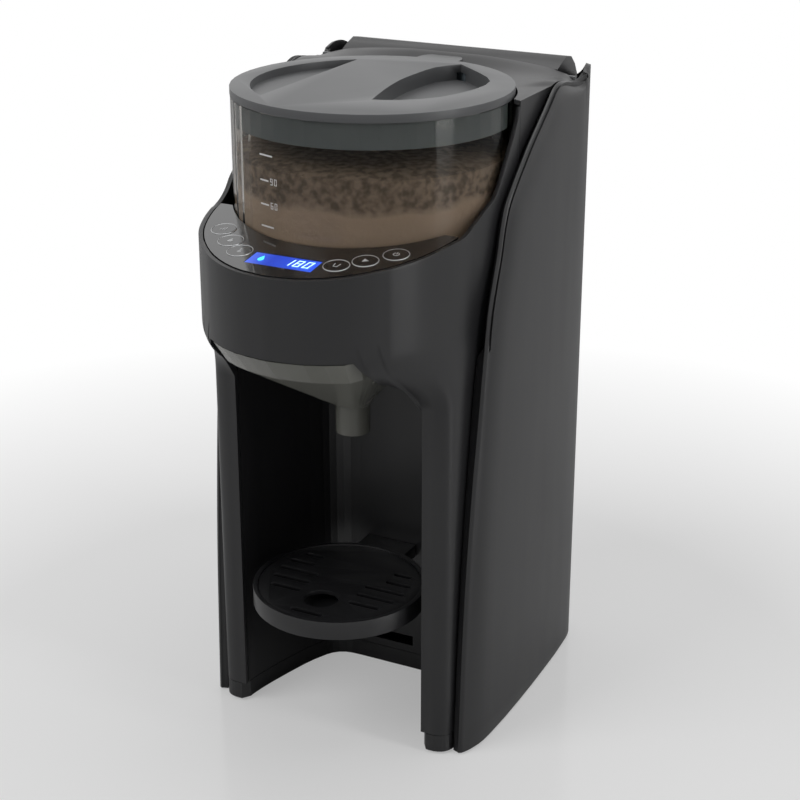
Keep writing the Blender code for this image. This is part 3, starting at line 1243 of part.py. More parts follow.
def screw(label, centre):
    low = FOOT_PROUD + SCREW_SINK
    item = part("screw_" + label, "steel", rod(SCREW_HEAD, low, low + SCREW_HEAD_HEIGHT, centre))
    join(item, rod(SCREW_SHANK, low + SCREW_HEAD_HEIGHT / 2, BASE_TOP + SCREW_LENGTH - GAP, centre, facets=12), "shank")
    cross = SCREW_SHANK / 3
    cut(item, box((centre[0] - SCREW_SHANK, centre[1] - cross, low - OVERRUN),
                  (centre[0] + SCREW_SHANK, centre[1] + cross, low + cross * 2)), "slot")


def equipment_frame():
    half = side_width(FRAME_BACK) - SHELL_WALL - SLIP * 3
    base = FOOT_PROUD + BASE_FLOOR + GAP
    item = part("equipment_frame", "grey_plastic", box((-half, FRAME_FRONT, BAY_FLOOR), (half, FRAME_BACK, FRAME_TOP)))
    foot = SCREW_REAR_HALF - BASE_BOSS * 1.5
    join(item, box((-foot, FRAME_FRONT, base), (foot, FRAME_BACK, BAY_FLOOR + GAP)), "foot")
    join(item, prism(rounded((-TANK_HALF, FRAME_FRONT + GAP), (TANK_HALF, TANK_BACK), TANK_ROUND),
                     TANK_SEAT - TANK_SEAT_WALL, TANK_SEAT), "tank_seat")
    cut(item, rod(PORT_RADIUS, TANK_SEAT - TANK_SEAT_WALL - OVERRUN, TANK_SEAT + OVERRUN, (0.0, PORT_PLACE)), "port")
    cut(item, box((-PUMP_BOTTOM, FRAME_FRONT - OVERRUN, base - OVERRUN),
                  (PUMP_BOTTOM, FRAME_BACK + OVERRUN, PUMP_BOTTOM + OVERRUN)), "hose_passage")
    saddles = (
        (PUMP_X, PUMP_Y + PUMP_RADIUS, PUMP_BOTTOM + SADDLE_RISE, PUMP_TOP - SADDLE_RISE),
        ((METER_LEFT + METER_RIGHT) / 2, METER_Y + METER_RADIUS, METER_Z - METER_SADDLE, METER_Z + METER_SADDLE),
        (HEATER_X, HEATER_Y + HEATER_RADIUS, HEATER_BOTTOM + SADDLE_RISE * 3, HEATER_TOP - SADDLE_RISE * 3),
    )
    for k, (x, y, low, high) in enumerate(saddles):
        join(item, box((x - METER_RADIUS, y + GAP, low), (x + METER_RADIUS, FRAME_FRONT + GAP, high)), "saddle_%d" % k)
    standoffs = ((BOARD_LEFT + STANDOFF_SET, BOARD_BOTTOM + STANDOFF_SET),
                 (BOARD_LEFT + BOARD_WIDTH - STANDOFF_SET, BOARD_BOTTOM + BOARD_HEIGHT - STANDOFF_SET))
    for k, centre in enumerate(standoffs):
        join(item, rod(STANDOFF_RADIUS, BOARD_FACE + BOARD_THICKNESS + GAP, FRAME_FRONT + GAP, centre, "Y", 12),
             "standoff_%d" % k)
    for side in (1, -1):
        centre = (side * SCREW_REAR_HALF, SCREW_REAR)
        join(item, rod(FRAME_POST, BAY_FLOOR, BAY_FLOOR + POST_RISE, centre), "post_%d" % side)
        cut(item, rod(SCREW_SHANK + GAP, BAY_FLOOR - OVERRUN, BASE_TOP + SCREW_LENGTH, centre), "bore_%d" % side)


def water_path():
    neck = PUMP_BOTTOM + PUMP_HEIGHT * PUMP_NECK_SHARE
    body = [(0.0, PUMP_BOTTOM), (PUMP_RADIUS, PUMP_BOTTOM), (PUMP_RADIUS, neck), (PUMP_RADIUS - COVER_WALL, neck),
            (PUMP_RADIUS - COVER_WALL, PUMP_TOP), (0.0, PUMP_TOP)]
    part("pump", "grey_plastic", turned(body, (PUMP_X, PUMP_Y), SMALL_FACETS + 4))
    part("flow_meter", "white_plastic", rod(METER_RADIUS, METER_LEFT, METER_RIGHT, (METER_Y, METER_Z), "X"))
    part("heater", "steel",
         rod(HEATER_RADIUS, HEATER_BOTTOM, HEATER_TOP, (HEATER_X, HEATER_Y), facets=SMALL_FACETS + 4))
    nozzle_top = HEAD_EDGE + PLATE_LEVEL - GAP
    part("water_nozzle", "white_plastic",
         rod(NOZZLE_RADIUS / 2, nozzle_top - NOZZLE_HEIGHT, nozzle_top, (NOZZLE_X, NOZZLE_Y), top_radius=NOZZLE_RADIUS))
    socket_top = TANK_SEAT - TANK_SEAT_WALL - GAP
    socket_low = socket_top - SOCKET_DROP
    ring = [(SOCKET_BORE, socket_low), (SOCKET_RADIUS, socket_low), (SOCKET_RADIUS, socket_top),
            (SOCKET_BORE, socket_top)]
    part("tank_socket", "grey_plastic", turned(ring, (0.0, PORT_PLACE), SMALL_FACETS + 4))
    feed = nozzle_top - NOZZLE_FEED
    down, up, left, right = (0, 0, -1), (0, 0, 1), (-1, 0, 0), (1, 0, 0)
    hose("hose_tank_pump", HOSE_RADIUS, (0.0, PORT_PLACE, socket_low - GAP), down, SUCTION_ROUTE_SHARES,
         (PUMP_X, PUMP_Y, PUMP_BOTTOM - GAP), down)
    hose("hose_pump_meter", HOSE_RADIUS, (PUMP_X, PUMP_Y, PUMP_TOP + GAP), up, METER_ROUTE_SHARES,
         (METER_LEFT - GAP, METER_Y, METER_Z), left)
    hose("hose_meter_heater", HOSE_RADIUS, (METER_RIGHT + GAP, METER_Y, METER_Z), right, HEATER_ROUTE_SHARES,
         (HEATER_X, HEATER_Y, HEATER_BOTTOM - GAP), down)
    hose("hose_heater_nozzle", FEED_RADIUS, (HEATER_X, HEATER_Y, HEATER_TOP + GAP), up, NOZZLE_ROUTE_SHARES,
         (NOZZLE_X, NOZZLE_Y + NOZZLE_RADIUS + GAP, feed), (0, 1, 0))


def hose(name, radius, start, leave, route, end, arrive):
    """Round hose that leaves one flat end straight, bends along a route and meets the other end straight."""
    bends = [(x * HALF_WIDTH, y * FRAME_FRONT, z * CEILING) for x, y, z in route]
    first = tuple(Vector(start) + Vector(leave) * HOSE_STRAIGHT)
    last = tuple(Vector(end) + Vector(arrive) * HOSE_STRAIGHT)
    curve = bpy.data.curves.new(name, "CURVE")
    curve.dimensions = "3D"
    curve.bevel_depth = radius
    curve.bevel_resolution = 2
    curve.use_fill_caps = True
    spline = curve.splines.new("POLY")
    points = [start, *smooth([first, *bends, last], 3), end]
    spline.points.add(len(points) - 1)
    for point, place_ in zip(spline.points, points):
        point.co = (*place_, 1.0)
    curve.materials.append(FINISH["hose_silicone"])
    item = bpy.data.objects.new(name, curve)
    item.parent = STAND
    PARTS.objects.link(item)


def power_supply():
    part("power_board", "board_green", box(
        (BOARD_LEFT, BOARD_FACE, BOARD_BOTTOM),
        (BOARD_LEFT + BOARD_WIDTH, BOARD_FACE + BOARD_THICKNESS, BOARD_BOTTOM + BOARD_HEIGHT)))
    left, low = BOARD_LEFT + TRANSFORMER_SET, BOARD_BOTTOM + TRANSFORMER_LIFT
    part("transformer", "copper", box(
        (left, BOARD_FACE - GAP - TRANSFORMER_DEPTH, low),
        (left + TRANSFORMER_WIDTH, BOARD_FACE - GAP, low + TRANSFORMER_HEIGHT)))
    end = sample(sorted((u, v) for u, v in CORNER), GLAND_X)
    centre = (GLAND_X, GLAND_Z)
    gland = prism([arc(GLAND_RADIUS, 0.0, 2 * math.pi * 19 / 20, 19, centre),
                   arc(GLAND_BORE, 0.0, 2 * math.pi * 13 / 14, 13, centre)], end - GLAND_LENGTH, end - GAP, "Y")
    part("cord_gland", "black_rubber", gland)


def water_tank():
    bottom = TANK_SEAT + GAP
    floor = bottom + TANK_FLOOR
    outline = rounded((-TANK_HALF, TANK_FRONT), (TANK_HALF, TANK_BACK), TANK_ROUND)
    item = part("water_tank", "smoke_clear", prism(outline, bottom, TANK_RIM), (0.0, PORT_PLACE, bottom))
    inner = rounded((-TANK_HALF + TANK_WALL, TANK_FRONT + TANK_WALL), (TANK_HALF - TANK_WALL, TANK_BACK - TANK_WALL),
                    TANK_ROUND - TANK_WALL)
    cut(item, prism(inner, floor, TANK_RIM + OVERRUN), "inside")
    cut(item, rod(VALVE_STEM + GAP * 2, bottom - OVERRUN, floor + OVERRUN, (0.0, PORT_PLACE)), "valve_hole")
    reach = PIN_PLACE + KNUCKLE_RADIUS
    for side in (1, -1):
        low, high = sorted((side * EAR_INNER, side * EAR_OUTER))
        join(item, box((low, TANK_BACK - TANK_WALL / 2, PIN_LEVEL - KNUCKLE_RADIUS * 2),
                       (high, reach, PIN_LEVEL + KNUCKLE_RADIUS)), "ear_%d" % side)
    cut(item, rod(PIN_RADIUS + GAP, -EAR_OUTER - OVERRUN, EAR_OUTER + OVERRUN, (PIN_PLACE, PIN_LEVEL), "X", 12), "pin")
    part("tank_lid_pin", "steel",
         rod(PIN_RADIUS, -EAR_OUTER + GAP, EAR_OUTER - GAP, (PIN_PLACE, PIN_LEVEL), "X", 12), (0.0, PIN_PLACE, PIN_LEVEL))
    head_low = floor + GAP
    stem = [(0.0, bottom - VALVE_DROP / 3), (VALVE_STEM, bottom - VALVE_DROP / 3), (VALVE_STEM, head_low),
            (VALVE_HEAD, head_low), (VALVE_HEAD, head_low + VALVE_HEIGHT), (0.0, head_low + VALVE_HEIGHT)]
    part("tank_valve", "white_plastic", turned(stem, (0.0, PORT_PLACE), SMALL_FACETS), (0.0, PORT_PLACE, head_low))
    tank_lid()


def tank_lid():
    low = TANK_RIM + GAP
    tops = [(TANK_FRONT, rim_level(TANK_FRONT) - GAP)]
    tops += [(y, rim_level(y)) for y, z in smooth(REAR_RIM[:6], 2) if z > low + GAP]
    back = [(y, z) for y, z in tops]
    last = back[-1][0]
    outline = [(TANK_FRONT, low), *back, (last, low)]
    item = part("tank_lid", "black_body", prism(outline, -TANK_LID_HALF, TANK_LID_HALF, "X"),
                (0.0, PIN_PLACE, PIN_LEVEL))
    hollow = [(TANK_FRONT + TANK_WALL, low - OVERRUN)]
    hollow += [(min(max(y, TANK_FRONT + TANK_WALL), last - TANK_LID_WALL), z - TANK_LID_ROOF) for y, z in back]
    hollow += [(last - TANK_LID_WALL, low - OVERRUN)]
    hollow = [p for k, p in enumerate(hollow) if k == 0 or math.dist(p, hollow[k - 1]) > GAP]
    cut(item, prism(hollow, -TANK_LID_HALF + TANK_WALL, TANK_LID_HALF - TANK_WALL, "X"), "hollow")
    join(item, box((-KNUCKLE_HALF, PIN_PLACE - KNUCKLE_RADIUS / 2, PIN_LEVEL),
                   (KNUCKLE_HALF, last - GAP / 3, low + TANK_WALL)), "web")
    join(item, rod(KNUCKLE_RADIUS, -KNUCKLE_HALF, KNUCKLE_HALF, (PIN_PLACE, PIN_LEVEL), "X", 16), "knuckle")
    cut(item, rod(PIN_RADIUS + GAP, -EAR_OUTER, EAR_OUTER, (PIN_PLACE, PIN_LEVEL), "X", 12), "pin")


outer_shell()
front_cover()
bay_liner()
top_deck()
control_panel()
display()
buttons()
container_seat()
powder_container()
powder_lid()
drive()
funnel()
bottle_stand()
base_plate()
equipment_frame()
water_path()
power_supply()
water_tank()
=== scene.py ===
"""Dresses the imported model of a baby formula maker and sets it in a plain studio."""

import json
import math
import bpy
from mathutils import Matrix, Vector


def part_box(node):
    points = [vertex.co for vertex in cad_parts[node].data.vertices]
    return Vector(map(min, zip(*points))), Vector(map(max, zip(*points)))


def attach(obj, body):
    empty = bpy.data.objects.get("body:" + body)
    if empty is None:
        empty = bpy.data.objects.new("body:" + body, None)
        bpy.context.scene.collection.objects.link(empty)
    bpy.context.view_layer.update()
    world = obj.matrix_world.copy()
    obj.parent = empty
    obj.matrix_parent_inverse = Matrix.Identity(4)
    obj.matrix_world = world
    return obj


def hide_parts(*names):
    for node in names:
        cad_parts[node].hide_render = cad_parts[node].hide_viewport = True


bl_info = {
    "name": "Baby formula maker",
    "version": (1, 0, 0),
    "blender": (4, 5, 0),
    "location": "3D View > Sidebar > Formula maker",
    "description": "Skins, finishes and studio of a baby formula maker, built around its packed model",
    "category": "Object",
}

import bmesh
import bpy
from bpy.props import FloatProperty, FloatVectorProperty, IntProperty, PointerProperty
from mathutils import Matrix, Vector

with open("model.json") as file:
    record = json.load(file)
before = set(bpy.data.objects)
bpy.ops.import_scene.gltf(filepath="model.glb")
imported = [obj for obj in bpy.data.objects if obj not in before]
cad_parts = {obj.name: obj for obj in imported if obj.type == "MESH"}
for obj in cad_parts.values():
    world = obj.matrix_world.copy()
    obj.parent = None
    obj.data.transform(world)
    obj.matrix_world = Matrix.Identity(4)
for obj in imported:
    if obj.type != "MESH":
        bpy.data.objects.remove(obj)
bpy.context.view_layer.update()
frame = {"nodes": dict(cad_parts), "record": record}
NODES = frame["nodes"]

# The container's upright axis is the middle that every plan below is drawn from
CONTAINER_LOW, CONTAINER_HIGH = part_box("powder_container")
AXIS_Y = (CONTAINER_LOW.y + CONTAINER_HIGH.y) / 2
CONTAINER_RADIUS = (CONTAINER_HIGH.x - CONTAINER_LOW.x) / 2
LID_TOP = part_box("powder_lid")[1].z
BASE_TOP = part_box("base_plate")[1].z
CEILING = 0.2188
CEILING_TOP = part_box("bay_liner")[1].z
HEAD_EDGE = 0.2335
GAP = 0.0003
WELD = 1e-6
LID_RIM = 0.0042
COLLAR = 0.0752
LEG_SPRING = 0.196
ARCH_FINDS = 400
ARCH_LOWEST = 0.19

# Shell: foot, rounding of its front edge, and the openings behind
SHELL_FOOT = 0.001
NOSE_DEPTH = 0.0035
NOSE_RUN = 0.006
NOSE_FADE = 0.02
BAND_FALL = 0.0016
BAND_STEPS = ((0.35, 0.0011), (0.70, 0.0005))
NOSE_STEPS = ((0.0011, 0.00012), (0.0004, 0.0003))
SIDE_STEPS = (0.0009, 0.0018, 0.003, 0.0045, 0.0065, 0.009, 0.013, 0.018, 0.025)
SHORT_RUN = 0.03
TANK_OPENING = ((-0.0655, 0.0887, 0.0500), (0.0655, 0.13, 0.36))
GLAND_HOLE = (0.0063, 0.10, 0.13, (0.045, 0.026))

# Deck: room round the lid, where its ring starts, its wall, and the steps of its dish
DECK_ROOM = 0.0012
DECK_START = 0.0126
DECK_WALL = 0.0022
DECK_LIP = 0.0006
DECK_STEPS = (0.1, 0.3, 0.5, 0.7, 0.9)
DECK_TURNS = 60
DECK_EDGE = (
    (COLLAR, 0.0131), (COLLAR, 0.041), (COLLAR, 0.0825), (COLLAR, 0.0864), (0.0655, 0.0864), (0.0, 0.0864),
)

# Crowned top behind the lid: half width and height of the ridge, and where the fall sets in
CROWN = (
    (0.0, 0.3517), (0.02, 0.3517), (0.03, 0.3512), (0.04, 0.3505), (0.05, 0.3496), (0.06, 0.3484),
    (0.07, 0.3458), (0.08, 0.3424), (0.09, 0.339),
)
CROWN_DEPTH = (0.05, 0.04)
CROWN_RISE = (0.330, 0.015)

# Lower edge of the cover over the bay: half width and height
ARCH = (
    (0.0, HEAD_EDGE), (0.0412, HEAD_EDGE), (0.0430, CEILING), (0.0470, 0.2175), (0.0495, 0.2150),
    (0.0515, 0.2110), (0.0531, 0.2050), (0.0540, 0.1990), (0.0543, 0.1960),
)
ARCH_HALF = 0.0543

# Front rim of the shell from the floor up to the rear: depth, height
RIM = (
    (-0.0475, 0.001), (-0.0440, 0.080), (-0.0390, 0.140), (-0.0330, 0.190), (-0.0290, 0.220),
    (-0.0255, 0.242), (-0.0210, 0.257), (-0.0165, 0.270), (-0.0130, 0.283), (-0.0085, 0.293),
    (-0.0010, 0.3014), (0.0081, 0.3095), (0.0190, 0.3184), (0.0300, 0.3260), (0.0410, 0.3334),
    (0.0500, 0.3395), (0.0600, 0.3430), (0.0740, 0.3445), (0.0860, 0.3462), (0.0935, 0.3492),
)
# Rear end of that rim over the ridge
REAR_RIM = (
    (0.0935, 0.3492), (0.1000, 0.3513), (0.1065, 0.3502), (0.1120, 0.3455), (0.1155, 0.3380),
    (0.1178, 0.3270), (0.1192, 0.3100),
)
# Half width of the shell along its depth
SIDE = (
    (-0.0475, 0.0785), (-0.0380, 0.0800), (-0.0290, 0.0812), (-0.0080, 0.0820), (0.0200, 0.0820),
    (0.0490, 0.0814), (0.0830, 0.0800), (0.0935, 0.0790),
)
# Rear corner of the shell in plan
CORNER = (
    (0.0790, 0.0935), (0.0775, 0.1020), (0.0738, 0.1100), (0.0680, 0.1150), (0.0590, 0.1178),
    (0.0450, 0.1190), (0.0250, 0.1194), (0.0, 0.1195),
)
# Front cover in plan, from its rear edge round to the middle of the front
LEG_PLAN = (
    (0.0715, 0.0120), (0.0715, -0.0050), (0.0715, -0.0180), (0.0714, -0.0280), (0.0710, -0.0370),
    (0.0703, -0.0435), (0.0690, -0.0480), (0.0662, -0.0512), (0.0618, -0.0526), (0.0575, -0.0526),
    (0.0543, -0.0526), (0.0500, -0.0526), (0.0420, -0.0526), (0.0300, -0.0526), (0.0160, -0.0526),
    (0.0, -0.0526),
)
HEAD_PLAN = (
    (0.0756, 0.0120), (0.0754, -0.0030), (0.0746, -0.0120), (0.0731, -0.0210), (0.0712, -0.0300),
    (0.0698, -0.0410), (0.0676, -0.0515), (0.0645, -0.0615), (0.0600, -0.0720), (0.0540, -0.0816),
    (0.0500, -0.0864), (0.0450, -0.0917), (0.0375, -0.0984), (0.0270, -0.1048), (0.0150, -0.1091),
    (0.0, -0.1110),
)
LEG_COLUMN = 10
# Heights between which the leg's plan turns into the head's, at the side and how much lower in front
BLEND_LOW = (0.200, 0.010)
BLEND_HIGH = (0.245, 0.015)
# Upper edge of the cover beside the container: depth, height
COLLAR_LINE = (
    (-0.0459, 0.2830), (-0.0370, 0.2847), (-0.0285, 0.2889), (-0.0221, 0.2932), (-0.0141, 0.2975),
    (-0.0084, 0.3043), (-0.0032, 0.3126), (0.0020, 0.3201), (0.0080, 0.3289), (0.0120, 0.3380),
)

# Panel: node, place across and along the panel, and icon of each button
BUTTONS = (
    ("button_heat", -0.0264, -0.0880, "thermometer"), ("button_water", -0.0371, -0.0790, "drop"),
    ("button_strength", -0.0478, -0.0680, "bars"), ("button_volume", 0.0264, -0.0880, "cup"),
    ("button_start", 0.0371, -0.0790, "triangle"), ("button_power", 0.0478, -0.0680, "power"),
)
BUTTON_RADIUS = 0.006
RING_RADIUS = 0.00635
RING_WIRE = 0.00022
RING_LIFT = 0.0001
RING_FACETS = 64
WIRE_FACETS = 8
ICON_HALF = 0.0021
ICON_LIFT = 0.00004
PRINT_DEPTH = 0.00008

# Display: middle, figures and drop
DISPLAY_PLACE = -0.0922
DISPLAY_LIFT = 0.00012
DIGIT_WIDTH = 0.0036
DIGIT_HEIGHT = 0.0068
DIGIT_BAR = 0.00085
DIGIT_SLANT = 0.14
DIGIT_PITCH = 0.0052
DIGITS_RIGHT = 0.0150
BAR_INSET = 0.14
DROP_PLACE = -0.0118
DROP_SIZE = (0.0024, 0.0029)
SEGMENTS = {
    "0": "abcdef", "1": "bc", "2": "abged", "3": "abgcd", "4": "fgbc", "5": "afgcd", "6": "afgecd",
    "7": "abc", "8": "abcdefg", "9": "abcdfg",
}

# Powder and its loose granules
POWDER_ROOM = 0.0024
POWDER_LIFT = 0.0006
STIRRER_SIDE = 0.0008
STIRRER_ROOM = 0.001
CAP_LEAST = 0.004
SHAFT_RADIUS = 0.004
HEAP_EDGE = ((0.0, -0.001), (0.002, 0.0), (0.012, 0.0018))
HEAP_RISE = 0.004
GRANULE_RADIUS = 0.0004
GRANULE_SEED = 7
GRANULE_SCALES = (0.5, 1.3)
GRANULE_BAND = (-0.013, 0.0005)
GRANULE_WALL = (0.0006, 0.0005)

# Level marks on the container: height, length of the line and number
SCALE_ANGLE = math.radians(-112.0)
SCALE = ((0.3205, 0.009, ""), (0.3080, 0.006, "90"), (0.2960, 0.006, "60"), (0.2850, 0.009, ""))
LINE_HALF = 0.0004
LINE_DEPTH = 0.0001
MARK_LIFT = 0.00004
MARK_WIDTH = 0.0018
MARK_HEIGHT = 0.0034
MARK_BAR = 0.0005
MARK_SPACE = 0.0012
MARK_PITCH = 0.0027

# Camera fitted to the photograph, and the studio's lamps: name, place, target, width, height, watts
LENS = 80.33
SENSOR = 36.0
CAMERA_TURN = math.radians(26.77)
CAMERA_TILT = math.radians(21.82)
CAMERA_PLACE = (0.4134, -0.7889, 0.5302)
LAMPS = (
    ("key_softbox", (-0.75, -1.05, 1.35), (0.0, 0.0, 0.20), 0.9, 0.9, 9.0),
    ("right_strip", (1.35, -0.10, 0.55), (0.0, 0.02, 0.20), 0.25, 1.3, 5.0),
    ("top_panel", (0.1, 0.25, 1.6), (0.0, 0.0, 0.25), 1.2, 0.8, 6.0),
)
FLOOR_HALF = 6.0
WORLD_FILL = 0.15
# Floor's white for the camera: how fast it rises with distance, where it starts, and its least share
WHITE_RATE = 3.0
WHITE_START = 0.75
WHITE_LEAST = 0.35


class MakerSizes(bpy.types.PropertyGroup):
    """Sizes a user may change."""
    panel_level: FloatProperty(
        name="Panel level", description="Height of the panel's plane above the container's axis",
        default=0.2898, unit="LENGTH")
    panel_slope: FloatProperty(
        name="Panel slope", description="Rise of the panel towards the rear, per metre", default=0.1384)
    cover_wall: FloatProperty(
        name="Cover wall", description="Thickness of the front cover", default=0.0022, unit="LENGTH")
    shell_wall: FloatProperty(
        name="Shell wall", description="Thickness of the outer shell", default=0.0025, unit="LENGTH")
    edge_round: FloatProperty(
        name="Edge rounding", description="Radius of moulded edges", default=0.0006, unit="LENGTH")
    powder_level: FloatProperty(
        name="Powder level", description="Height of the powder's surface in the container",
        default=0.3135, unit="LENGTH")
    granule_count: IntProperty(
        name="Granules", description="Loose granules scattered over the powder", default=1400, min=0)
    reading: IntProperty(
        name="Reading", description="Number that the display shows", default=180, min=0, max=999)


class MakerColours(bpy.types.PropertyGroup):
    """Colours a user may change."""
    body: FloatVectorProperty(
        name="Body", description="Moulded casing", subtype="COLOR", size=3, default=(0.011, 0.011, 0.012))
    lid: FloatVectorProperty(
        name="Lid", description="Powder lid", subtype="COLOR", size=3, default=(0.085, 0.087, 0.090))
    smoke: FloatVectorProperty(
        name="Smoke", description="Tint of the clear container", subtype="COLOR", size=3,
        default=(0.60, 0.58, 0.55))
    funnel: FloatVectorProperty(
        name="Funnel", description="Tint of the funnel", subtype="COLOR", size=3, default=(0.30, 0.30, 0.27))
    powder: FloatVectorProperty(
        name="Powder", description="Milk powder", subtype="COLOR", size=3, default=(0.56, 0.44, 0.34))


def settings():
    return bpy.context.scene.maker_sizes


def colours():
    return bpy.context.scene.maker_colours


# Shader building
class Signal:
    """A shader socket that takes Python arithmetic; each operation adds a Math node."""

    def __init__(self, tree, socket):
        self.tree = tree
        self.socket = socket

    def math(self, operation, *values):
        node = self.tree.nodes.new("ShaderNodeMath")
        node.operation = operation
        for slot, value in zip(node.inputs, (self, *values)):
            connect(self.tree, slot, value)
        return Signal(self.tree, node.outputs[0])

    def __add__(self, other):
        return self.math("ADD", other)

    def __mul__(self, other):
        return self.math("MULTIPLY", other)

    def __sub__(self, other):
        return self.math("SUBTRACT", other)


def connect(tree, slot, value):
    if isinstance(value, Signal):
        tree.links.new(value.socket, slot)
    elif isinstance(value, (tuple, list)) and len(value) == 3 and slot.type == "RGBA":
        slot.default_value = (*value, 1.0)
    else:
        slot.default_value = value


class Finish:
    """One material and the few moves that build it."""

    def __init__(self, name):
        self.material = bpy.data.materials.new(name)
        self.material.use_nodes = True
        self.tree = self.material.node_tree
        self.shader = self.tree.nodes["Principled BSDF"]
        self.place = self.node("ShaderNodeTexCoord", output="Object")

    def node(self, kind, setup=None, output=0, **values):
        node = self.tree.nodes.new(kind)
        for key, value in (setup or {}).items():
            setattr(node, key, value)
        for key, value in values.items():
            connect(self.tree, node.inputs[key.replace("_", " ")], value)
        return Signal(self.tree, node.outputs[output])

    def noise(self, scale, detail=3.0, stretch=None):
        place = self.place
        if stretch:
            place = self.node("ShaderNodeMapping", Vector=place, Scale=stretch)
        return self.node("ShaderNodeTexNoise", Vector=place, Scale=scale, Detail=detail)

    def mix(self, share, first, second):
        node = self.tree.nodes.new("ShaderNodeMix")
        node.data_type = "RGBA"
        connect(self.tree, node.inputs["Factor"], share)
        connect(self.tree, node.inputs["A"], first)
        connect(self.tree, node.inputs["B"], second)
        return Signal(self.tree, node.outputs["Result"])

    def ramp(self, value, *stops):
        node = self.tree.nodes.new("ShaderNodeValToRGB")
        ends = node.color_ramp.elements
        ends[0].position, ends[1].position = stops[0][0], stops[-1][0]
        for place, colour in stops[1:-1]:
            ends.new(place)
        for end, (place, colour) in zip(ends, stops):
            end.color = (*colour, 1.0) if isinstance(colour, tuple) else (colour, colour, colour, 1.0)
        connect(self.tree, node.inputs[0], value)
        return Signal(self.tree, node.outputs["Color"])

    def bump(self, height, strength, distance):
        return self.node("ShaderNodeBump", Height=height, Strength=strength, Distance=distance)

    def set(self, **values):
        for key, value in values.items():
            connect(self.tree, self.shader.inputs[key.replace("_", " ")], value)
        return self.material


def shade(colour, factor):
    return tuple(min(c * factor, 1.0) for c in colour)


def body_finish():
    paint = Finish("satin_black")
    colour = tuple(colours().body)
    cloud = paint.noise(14.0, 2.0)
    grain = paint.noise(2600.0, 2.0)
    scuff = paint.noise(90.0, 4.0, (1.0, 1.0, 0.15))
    tint = paint.mix(cloud, shade(colour, 0.82), shade(colour, 1.18))
    rough = cloud * 0.07 + scuff * 0.06 + 0.30
    return paint.set(Base_Color=tint, Roughness=rough, Normal=paint.bump(grain, 0.10, 0.00008), IOR=1.5)


def gloss_finish():
    paint = Finish("gloss_black")
    smear = paint.noise(55.0, 5.0, (1.0, 2.2, 1.0))
    rough = paint.ramp(smear, (0.35, 0.05), (0.75, 0.16))
    tint = paint.mix(smear, (0.004, 0.004, 0.005), (0.009, 0.009, 0.010))
    return paint.set(Base_Color=tint, Roughness=rough, Coat_Weight=0.6, Coat_Roughness=0.03)


def lid_finish():
    paint = Finish("satin_grey")
    colour = tuple(colours().lid)
    cloud = paint.noise(22.0, 3.0)
    grain = paint.noise(2100.0, 2.0)
    tint = paint.mix(cloud, shade(colour, 0.93), shade(colour, 1.07))
    rough = cloud * 0.08 + 0.34
    return paint.set(Base_Color=tint, Roughness=rough, Normal=paint.bump(grain, 0.10, 0.00008))


def smoke_finish():
    paint = Finish("smoke_clear")
    smear = paint.noise(40.0, 4.0)
    rough = paint.ramp(smear, (0.3, 0.02), (0.8, 0.07))
    tint = paint.mix(smear, tuple(colours().smoke), shade(tuple(colours().smoke), 1.05))
    return paint.set(Base_Color=tint, Roughness=rough, Transmission_Weight=1.0, IOR=1.18)


def funnel_finish():
    paint = Finish("olive_clear")
    colour = tuple(colours().funnel)
    cloud = paint.noise(26.0, 3.0)
    frost = paint.noise(1500.0, 2.0)
    tint = paint.mix(cloud, shade(colour, 0.9), shade(colour, 1.15))
    rough = cloud * 0.08 + 0.22
    return paint.set(Base_Color=tint, Roughness=rough, Transmission_Weight=0.55, IOR=1.35,
                     Normal=paint.bump(frost, 0.08, 0.00006))


def powder_finish():
    paint = Finish("milk_powder")
    colour = tuple(colours().powder)
    height = paint.node("ShaderNodeSeparateXYZ", output="Z", Vector=paint.place)
    clump = paint.noise(260.0, 5.0)
    drift = paint.noise(38.0, 3.0, (1.0, 1.0, 1.8))
    # Painted shade: from about 0.30 m up, under the lid, the powder is painted far darker, and band is the
    # mask of this painted shade
    band = paint.ramp((height + drift * 0.012 - 0.296) * 60.0, (0.35, 0.0), (0.60, 1.0))
    # packed is the powder's own cream colour below the painted shade
    packed = paint.mix(drift, shade(colour, 0.80), shade(colour, 1.0))
    # loose is the powder's real clumpy grain, painted dark as shade under the lid
    loose = paint.mix(paint.ramp(clump, (0.38, 0.0), (0.62, 1.0)), shade(colour, 0.26), shade(colour, 0.62))
    tint = paint.mix(band, packed, loose)
    return paint.set(Base_Color=tint, Roughness=0.95, Normal=paint.bump(clump, 0.5, 0.0010))


def seal_finish():
    paint = Finish("seal_silicone")
    cloud = paint.noise(60.0, 2.0)
    tint = paint.mix(cloud, (0.13, 0.16, 0.18), (0.17, 0.20, 0.22))
    return paint.set(Base_Color=tint, Roughness=cloud * 0.1 + 0.35)


def plain_finish(name, colour, rough, metal=0.0, scale=400.0, bump=0.06):
    """Moulded, rubber, board and metal finishes of the pieces inside."""
    paint = Finish(name)
    cloud = paint.noise(30.0, 3.0)
    grain = paint.noise(scale, 3.0)
    tint = paint.mix(cloud, shade(colour, 0.86), shade(colour, 1.12))
    return paint.set(Base_Color=tint, Roughness=cloud * 0.12 + rough, Metallic=metal,
                     Normal=paint.bump(grain, bump, 0.0001))


def screen_finish():
    paint = Finish("blue_screen")
    height = paint.node("ShaderNodeSeparateXYZ", output="X", Vector=paint.place)
    glow = paint.ramp(height * 24.0 + 0.5, (0.0, (0.10, 0.20, 1.0)), (0.35, (0.02, 0.06, 0.62)),
                      (1.0, (0.03, 0.12, 1.0)))
    return paint.set(Base_Color=(0.0, 0.01, 0.05), Roughness=0.2, Emission_Color=glow, Emission_Strength=0.9)


